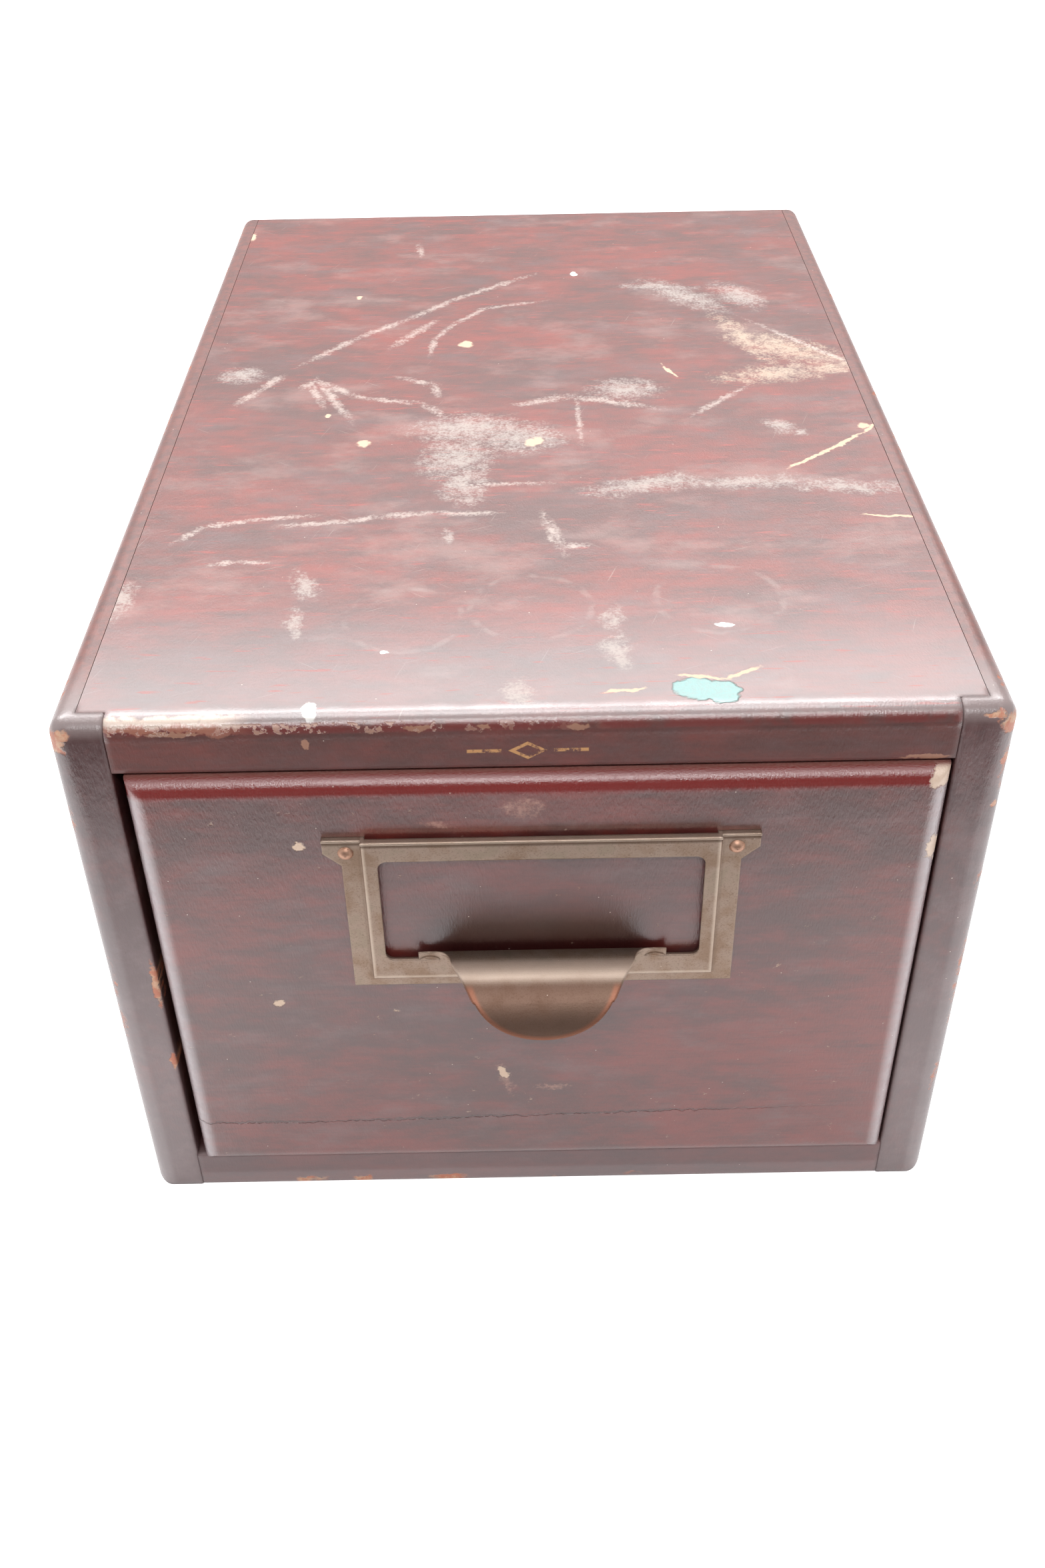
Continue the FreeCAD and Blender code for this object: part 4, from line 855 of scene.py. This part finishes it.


# %% [markdown]
# ## The boards of the case
# The two sides and the bottom rail share one function. Their front ends are paler low down, a painted
# reflection of the floor, and their tops paler towards the front, a painted highlight. Their flanks are
# streaked like the top, and the wear cuts through at the edges only.
# `shine` is how much clear varnish is left on the part that faces the front.


# %% The finish of a case board
def case_board(name, node, direction, redness, bloom, shine, edge_pairs, chips):
    """Stained wood, with painted reflection low on the front ends and painted highlight on the tops,
    streaked on the flanks and worn along some edges.
    """
    board = Finish(name)
    deep, red_tone = paint(78, 44, 44), paint(120, 54, 48)
    colour, streaks = stained_wood(board, direction, redness, bloom, deep, red_tone)
    crumble = board.noise(board.place, 2.2, 4.0, 0.65)
    places = board.noise(board.place, 14.0, 3.0, 0.5)
    drawn_out = board.noise(grain_frame(board, direction, 0.3), 5.0, 6.0, 0.66)
    broad = board.noise(grain_frame(board, direction, 0.6), 26.0, 4.0, 0.6)
    crazing = board.noise(board.stretch(board.place, (1.0, 1.0, 0.28)), 0.45, 3.0, 0.6)

    facing = board.y.fade(-126.0, -129.0)
    behind_facing = board.y.fade(-127.0, -124.0)
    flanks = board.y.fade(-128.0, -118.0)
    # painted reflection of the floor: the front ends made paler towards the bottom
    painted_floor_reflection_ends = board.z.fade(104.0, 24.0) * board.y.fade(-128.0, -131.0)
    on_top = board.z.fade(121.0, 124.0)
    rims = near_edges(board, node, *edge_pairs)
    worn = (rims + (crumble - 0.5) * 3.0).fade(2.1, 1.5) * places.fade(0.54, 0.6)
    if chips:
        knocked = nearest(board, frayed(board, board.flat(board.x, board.z), 0.9, 2.0), chips)
        knocked = (knocked + (crumble - 0.5) * 1.6).fade(1.2, 0.7) * board.y.fade(-124.0, -128.0)
        worn = worn.most(knocked)

    streaked = (drawn_out * 0.5 + broad * 0.5).fade(0.36, 0.68)
    flank = board.mix(streaked, paint(84, 46, 42), paint(122, 56, 48))
    flank = board.mix(broad.fade(0.56, 0.76) * 0.3, flank, paint(140, 112, 106))
    upper = board.mix(crumble.fade(0.36, 0.64), paint(104, 68, 63), paint(136, 78, 68))
    bare = board.mix(crumble.fade(0.44, 0.62), BARE_EDGE, BARE_WOOD)
    colour = board.layered(
        colour,
        (flanks * 0.85, flank),
        (painted_floor_reflection_ends * 0.36, paint(160, 144, 144)),
        (on_top * board.y.fade(-131.0, -112.0) * 0.75, upper),
        # painted highlight: the tops of the sides made pale and grey towards the front
        (on_top * board.y.fade(-108.0, -129.0) * 0.5, paint(168, 154, 152)),
        (worn * 0.85, bare),
        (specks(board, 2.6, 0.15, 0.26) * 0.8, DUST),
    )

    inner = TOP_LOW.x if node == "case_side_left" else TOP_HIGH.x
    seam = (board.x - inner).size().fade(2.6, 1.8) * board.z.fade(122.4, 123.4) * behind_facing
    polish = facing * (rims.fade(4.6, 3.2) * 0.3 + shine)
    height = crazing * 0.8 - worn * 1.2 + streaks * 0.3
    return varnished(board, colour, worn, polish, height, 0.06, 1.5, 0.54, seam)


# %% Finish the sides and the bottom rail
LEFT_CHIPS = [
    (-83.0, 120.6, 2.6, 2.0, 60.0),
    (-81.2, 122.6, 1.6, 0.9, 20.0),
    (-74.6, 62.0, 0.7, 6.0, 0.0),
    (-74.5, 40.0, 0.6, 2.4, 0.0),
]
RIGHT_CHIPS = [
    (82.6, 121.4, 2.4, 1.7, -40.0),
    (79.6, 123.4, 2.0, 0.6, 0.0),
    (82.8, 113.8, 0.7, 1.3, 0.0),
    (82.6, 103.7, 0.6, 1.0, 0.0),
]
BOARDS = [
    ("mahogany_side", "case_side_left", "y", 0.2, 0.7, 0.35, ("-x-y", "-x+z"), LEFT_CHIPS),
    ("mahogany_side_right", "case_side_right", "y", 0.2, 0.7, 0.36, ("+x-y", "+x+z"), RIGHT_CHIPS),
    ("mahogany_rail", "case_bottom", "x", 0.56, 0.36, 0.03, ("-y-z",), ()),
]
for name, node, *rest in BOARDS:
    dress(case_board(name, node, *rest), node)


# %% [markdown]
# ## Bare wood inside
# Where nobody looks the wood was left plain: pale, and a little brown from handling.


# %% A plain wood finish
FINGER_MARKS = paint(92, 62, 44)
DARK_PORES = paint(70, 44, 30)


def bare_wood(name, tone, dark_tone, direction, grain, roughness):
    """Plain wood, whose grain runs one way in lines `grain` millimetres wide."""
    wood = Finish(name)
    fibres = grain_frame(wood, direction)
    lines = wood.noise(fibres, grain, 4.0, 0.6)
    bands = wood.noise(fibres, grain * 7, 3.0, 0.55)
    stains = wood.noise(wood.place, 30.0, 4.0, 0.6)
    pores = wood.noise(fibres, 0.3, 2.0).fade(0.62, 0.72)
    colour = wood.layered(
        tone,
        ((lines * 0.5 + bands * 0.7).fade(0.42, 0.78), dark_tone),
        (stains.fade(0.55, 0.75) * 0.3, FINGER_MARKS),
        (pores * 0.45, DARK_PORES),
    )
    rough = wood.blend(lines, roughness - 0.08, roughness + 0.14)
    relief = wood.relief(lines, 0.05)
    return wood.shade(wood.surface(Base_Color=colour, Roughness=rough, Normal=relief))


# %% Finish the boards inside
drawer_sides = ["drawer_side_left", "drawer_side_right"]
PLAIN_WOODS = [
    ("back_panel", (150, 112, 82), (112, 76, 54), "x", 1.8, 0.62, ["case_back"]),
    ("strip_wood", (156, 116, 84), (118, 80, 56), "x", 1.4, 0.62, ["stop_strip"]),
    ("drawer_wood", (196, 158, 116), (160, 118, 80), "y", 1.4, 0.62, drawer_sides),
    ("drawer_back_wood", (190, 152, 112), (156, 116, 80), "x", 1.4, 0.62, ["drawer_back"]),
    ("drawer_panel", (186, 150, 112), (150, 112, 78), "y", 1.9, 0.62, ["drawer_bottom"]),
    ("button_wood", (176, 134, 94), (138, 98, 66), "x", 1.4, 0.62, ["stop_button"]),
    ("follower_wood", (132, 70, 46), (88, 42, 30), "x", 1.3, 0.45, ["follower_board"]),
]
for name, tone, dark_tone, direction, grain, roughness, nodes in PLAIN_WOODS:
    dress(bare_wood(name, paint(*tone), paint(*dark_tone), direction, grain, roughness), *nodes)


# %% [markdown]
# ## Metal
# Screws, pins, brads and the follower's gear share one finish: bright metal, with stains that spread
# in clouds. A stain is a little less metallic and a little rougher than the metal around it.


# %% A stained metal finish
def metal(name, tone, stain_tone, roughness, stained, patch):
    """Metal of one tone, stained over a share of it, in clouds `patch` millimetres across."""
    work = Finish(name)
    cloud = work.noise(work.place, patch, 5.0, 0.62)
    fine = work.noise(work.place, 0.35, 3.0, 0.6)
    stain = (cloud + (fine - 0.5) * 0.3).fade(0.66 - stained * 0.3, 0.86 - stained * 0.3)
    colour = work.layered(tone, (stain, stain_tone), (specks(work, 3.0, 0.14, 0.3) * 0.5, DUST))
    rough = work.blend(stain, roughness, roughness + 0.12) + (fine - 0.5) * 0.1
    relief = work.relief(fine + cloud, 0.01)
    shiny = 1 - stain * 0.2
    return work.shade(work.surface(Base_Color=colour, Metallic=shiny, Roughness=rough, Normal=relief))


# %% Finish the fasteners and the follower's gear
screws = [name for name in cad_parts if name.endswith("screws") or name == "stop_button_screw"]
plain_steel = [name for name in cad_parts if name.endswith("brads")] + ["lever_pin"]
METALS = [
    ("bronzed_pins", (196, 156, 134), (156, 116, 94), 0.5, 0.3, 2.0, ["label_pull_pins"]),
    ("brass_screws", (186, 152, 96), (112, 84, 50), 0.34, 0.4, 2.0, screws),
    ("fastener_steel", (150, 148, 146), (96, 78, 66), 0.4, 0.5, 2.0, plain_steel),
    ("track_steel", (164, 162, 160), (110, 98, 88), 0.34, 0.3, 6.0, ["follower_track"]),
    ("shoe_steel", (156, 154, 152), (104, 92, 82), 0.36, 0.4, 5.0, ["follower_shoe"]),
    ("lever_steel", (160, 158, 154), (104, 90, 80), 0.34, 0.35, 4.0, ["lock_lever"]),
    ("spring_steel", (140, 138, 138), (90, 80, 74), 0.3, 0.3, 3.0, ["lever_spring"]),
]
for name, tone, stain_tone, roughness, stained, patch, nodes in METALS:
    dress(metal(name, paint(*tone), paint(*stain_tone), roughness, stained, patch), *nodes)


# %% [markdown]
# ## The label pull
# One pressed sheet of bronzed steel, so one finish, browned unevenly in clouds. Light and shade are
# painted on
# its parts: a painted highlight on the tongue's crown, painted shade on its apron below, a painted
# highlight along the raised moulding and on the turned-out lip, and painted shade at the moulding's
# foot and under the lip.
# Each part is a range of depth or height, and the tongue's round rim is the outline of one ellipse.


# %% Noises and masks of the label pull
PULL_MIDDLE = 1.2
MOULDING_HALF_WIDTH = 32.45
MOULDING_FLOOR = 66.85
TONGUE_ROUND = (PULL_MIDDLE, 80.3, 15.8, 15.8, 0.0)
pull = Finish("bronzed_plate")
fine = pull.noise(pull.place, 0.3, 3.0, 0.65)
cloud = pull.noise(pull.place, 6.0, 4.0, 0.55)
brushed = pull.noise(pull.stretch(pull.place, (0.3, 1.0, 1.0)), 0.5, 3.0, 0.6)
# painted highlight: the tongue's crown made bright
painted_highlight_crown = pull.y.fade(-137.6, -139.6) * pull.y.fade(-144.4, -142.4)
# painted shade: the tongue's apron below made dark brown, and a little rougher and less metallic
painted_shade_apron = pull.y.fade(-142.2, -144.6)
behind_rim = (MOULDING_HALF_WIDTH - (pull.x - PULL_MIDDLE).size()).least(pull.z - MOULDING_FLOOR)
on_flange = pull.y.fade(-138.0, -137.0)
# painted highlight: a light line along the raised moulding's edge
painted_highlight_raised_rim = behind_rim.fade(-0.05, 0.15) * behind_rim.fade(0.9, 0.4) * on_flange
# painted shade: a dark line in the crease at the moulding's foot
painted_shade_rim_foot = behind_rim.fade(0.04, -0.08) * behind_rim.fade(-0.9, -0.2) * on_flange
# painted shadow: a dark line under the turned-out lip
painted_shadow_under_lip = pull.z.fade(99.3, 99.9) * pull.z.fade(100.6, 100.3)
# painted highlight: the top of the turned-out lip made lighter
painted_highlight_on_lip = pull.z.fade(100.3, 100.6)
off_middle = nearest(pull, pull.flat(pull.x, pull.z), [TONGUE_ROUND])
rim = off_middle.fade(0.93, 0.975) * pull.y.fade(-143.5, -145.0)
print("label pull, masks:", len(pull.tree.nodes), "nodes")


# %% Lay the colours on the label pull and shade it
browned = (cloud + (fine - 0.5) * 0.2).fade(0.42, 0.66)
colour = pull.layered(
    paint(158, 138, 124),
    (browned * 0.7, paint(142, 116, 96)),
    (cloud.fade(0.44, 0.34) * 0.4, paint(138, 126, 108)),
    (fine.fade(0.52, 0.7) * 0.35, paint(104, 84, 70)),
    (painted_highlight_crown * 0.6, paint(226, 206, 190)),
    (painted_shade_apron * 0.8, paint(104, 76, 63)),
    (painted_highlight_raised_rim * 0.5, paint(206, 188, 172)),
    (painted_shade_rim_foot * 0.45, paint(112, 92, 78)),
    (painted_shadow_under_lip * 0.7, paint(82, 62, 50)),
    (painted_highlight_on_lip * 0.4, paint(196, 176, 160)),
    (rim * 0.55, paint(168, 108, 84)),
    (specks(pull, 2.2, 0.13, 0.22) * 0.6, DUST),
)
rough = pull.blend(cloud, 0.34, 0.54) + (fine - 0.5) * 0.14 + painted_shade_apron * 0.1
eased = pull.node("ShaderNodeBevel", {"samples": 6}, {"Radius": 0.0005})
relief = pull.relief(fine + brushed * 0.6, 0.022, eased)
plate = pull.surface(Base_Color=colour, Metallic=0.92 - painted_shade_apron * 0.1, Roughness=rough, Normal=relief)
dress(pull.shade(plate), "label_pull")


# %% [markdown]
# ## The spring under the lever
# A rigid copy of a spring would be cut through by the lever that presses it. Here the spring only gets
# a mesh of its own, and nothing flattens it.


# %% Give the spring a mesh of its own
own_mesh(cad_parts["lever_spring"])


# %% [markdown]
# ## View transform
# Last, the picture's view transform is set to Standard.


# %% Set the view transform
bpy.context.scene.view_settings.view_transform = "Standard"
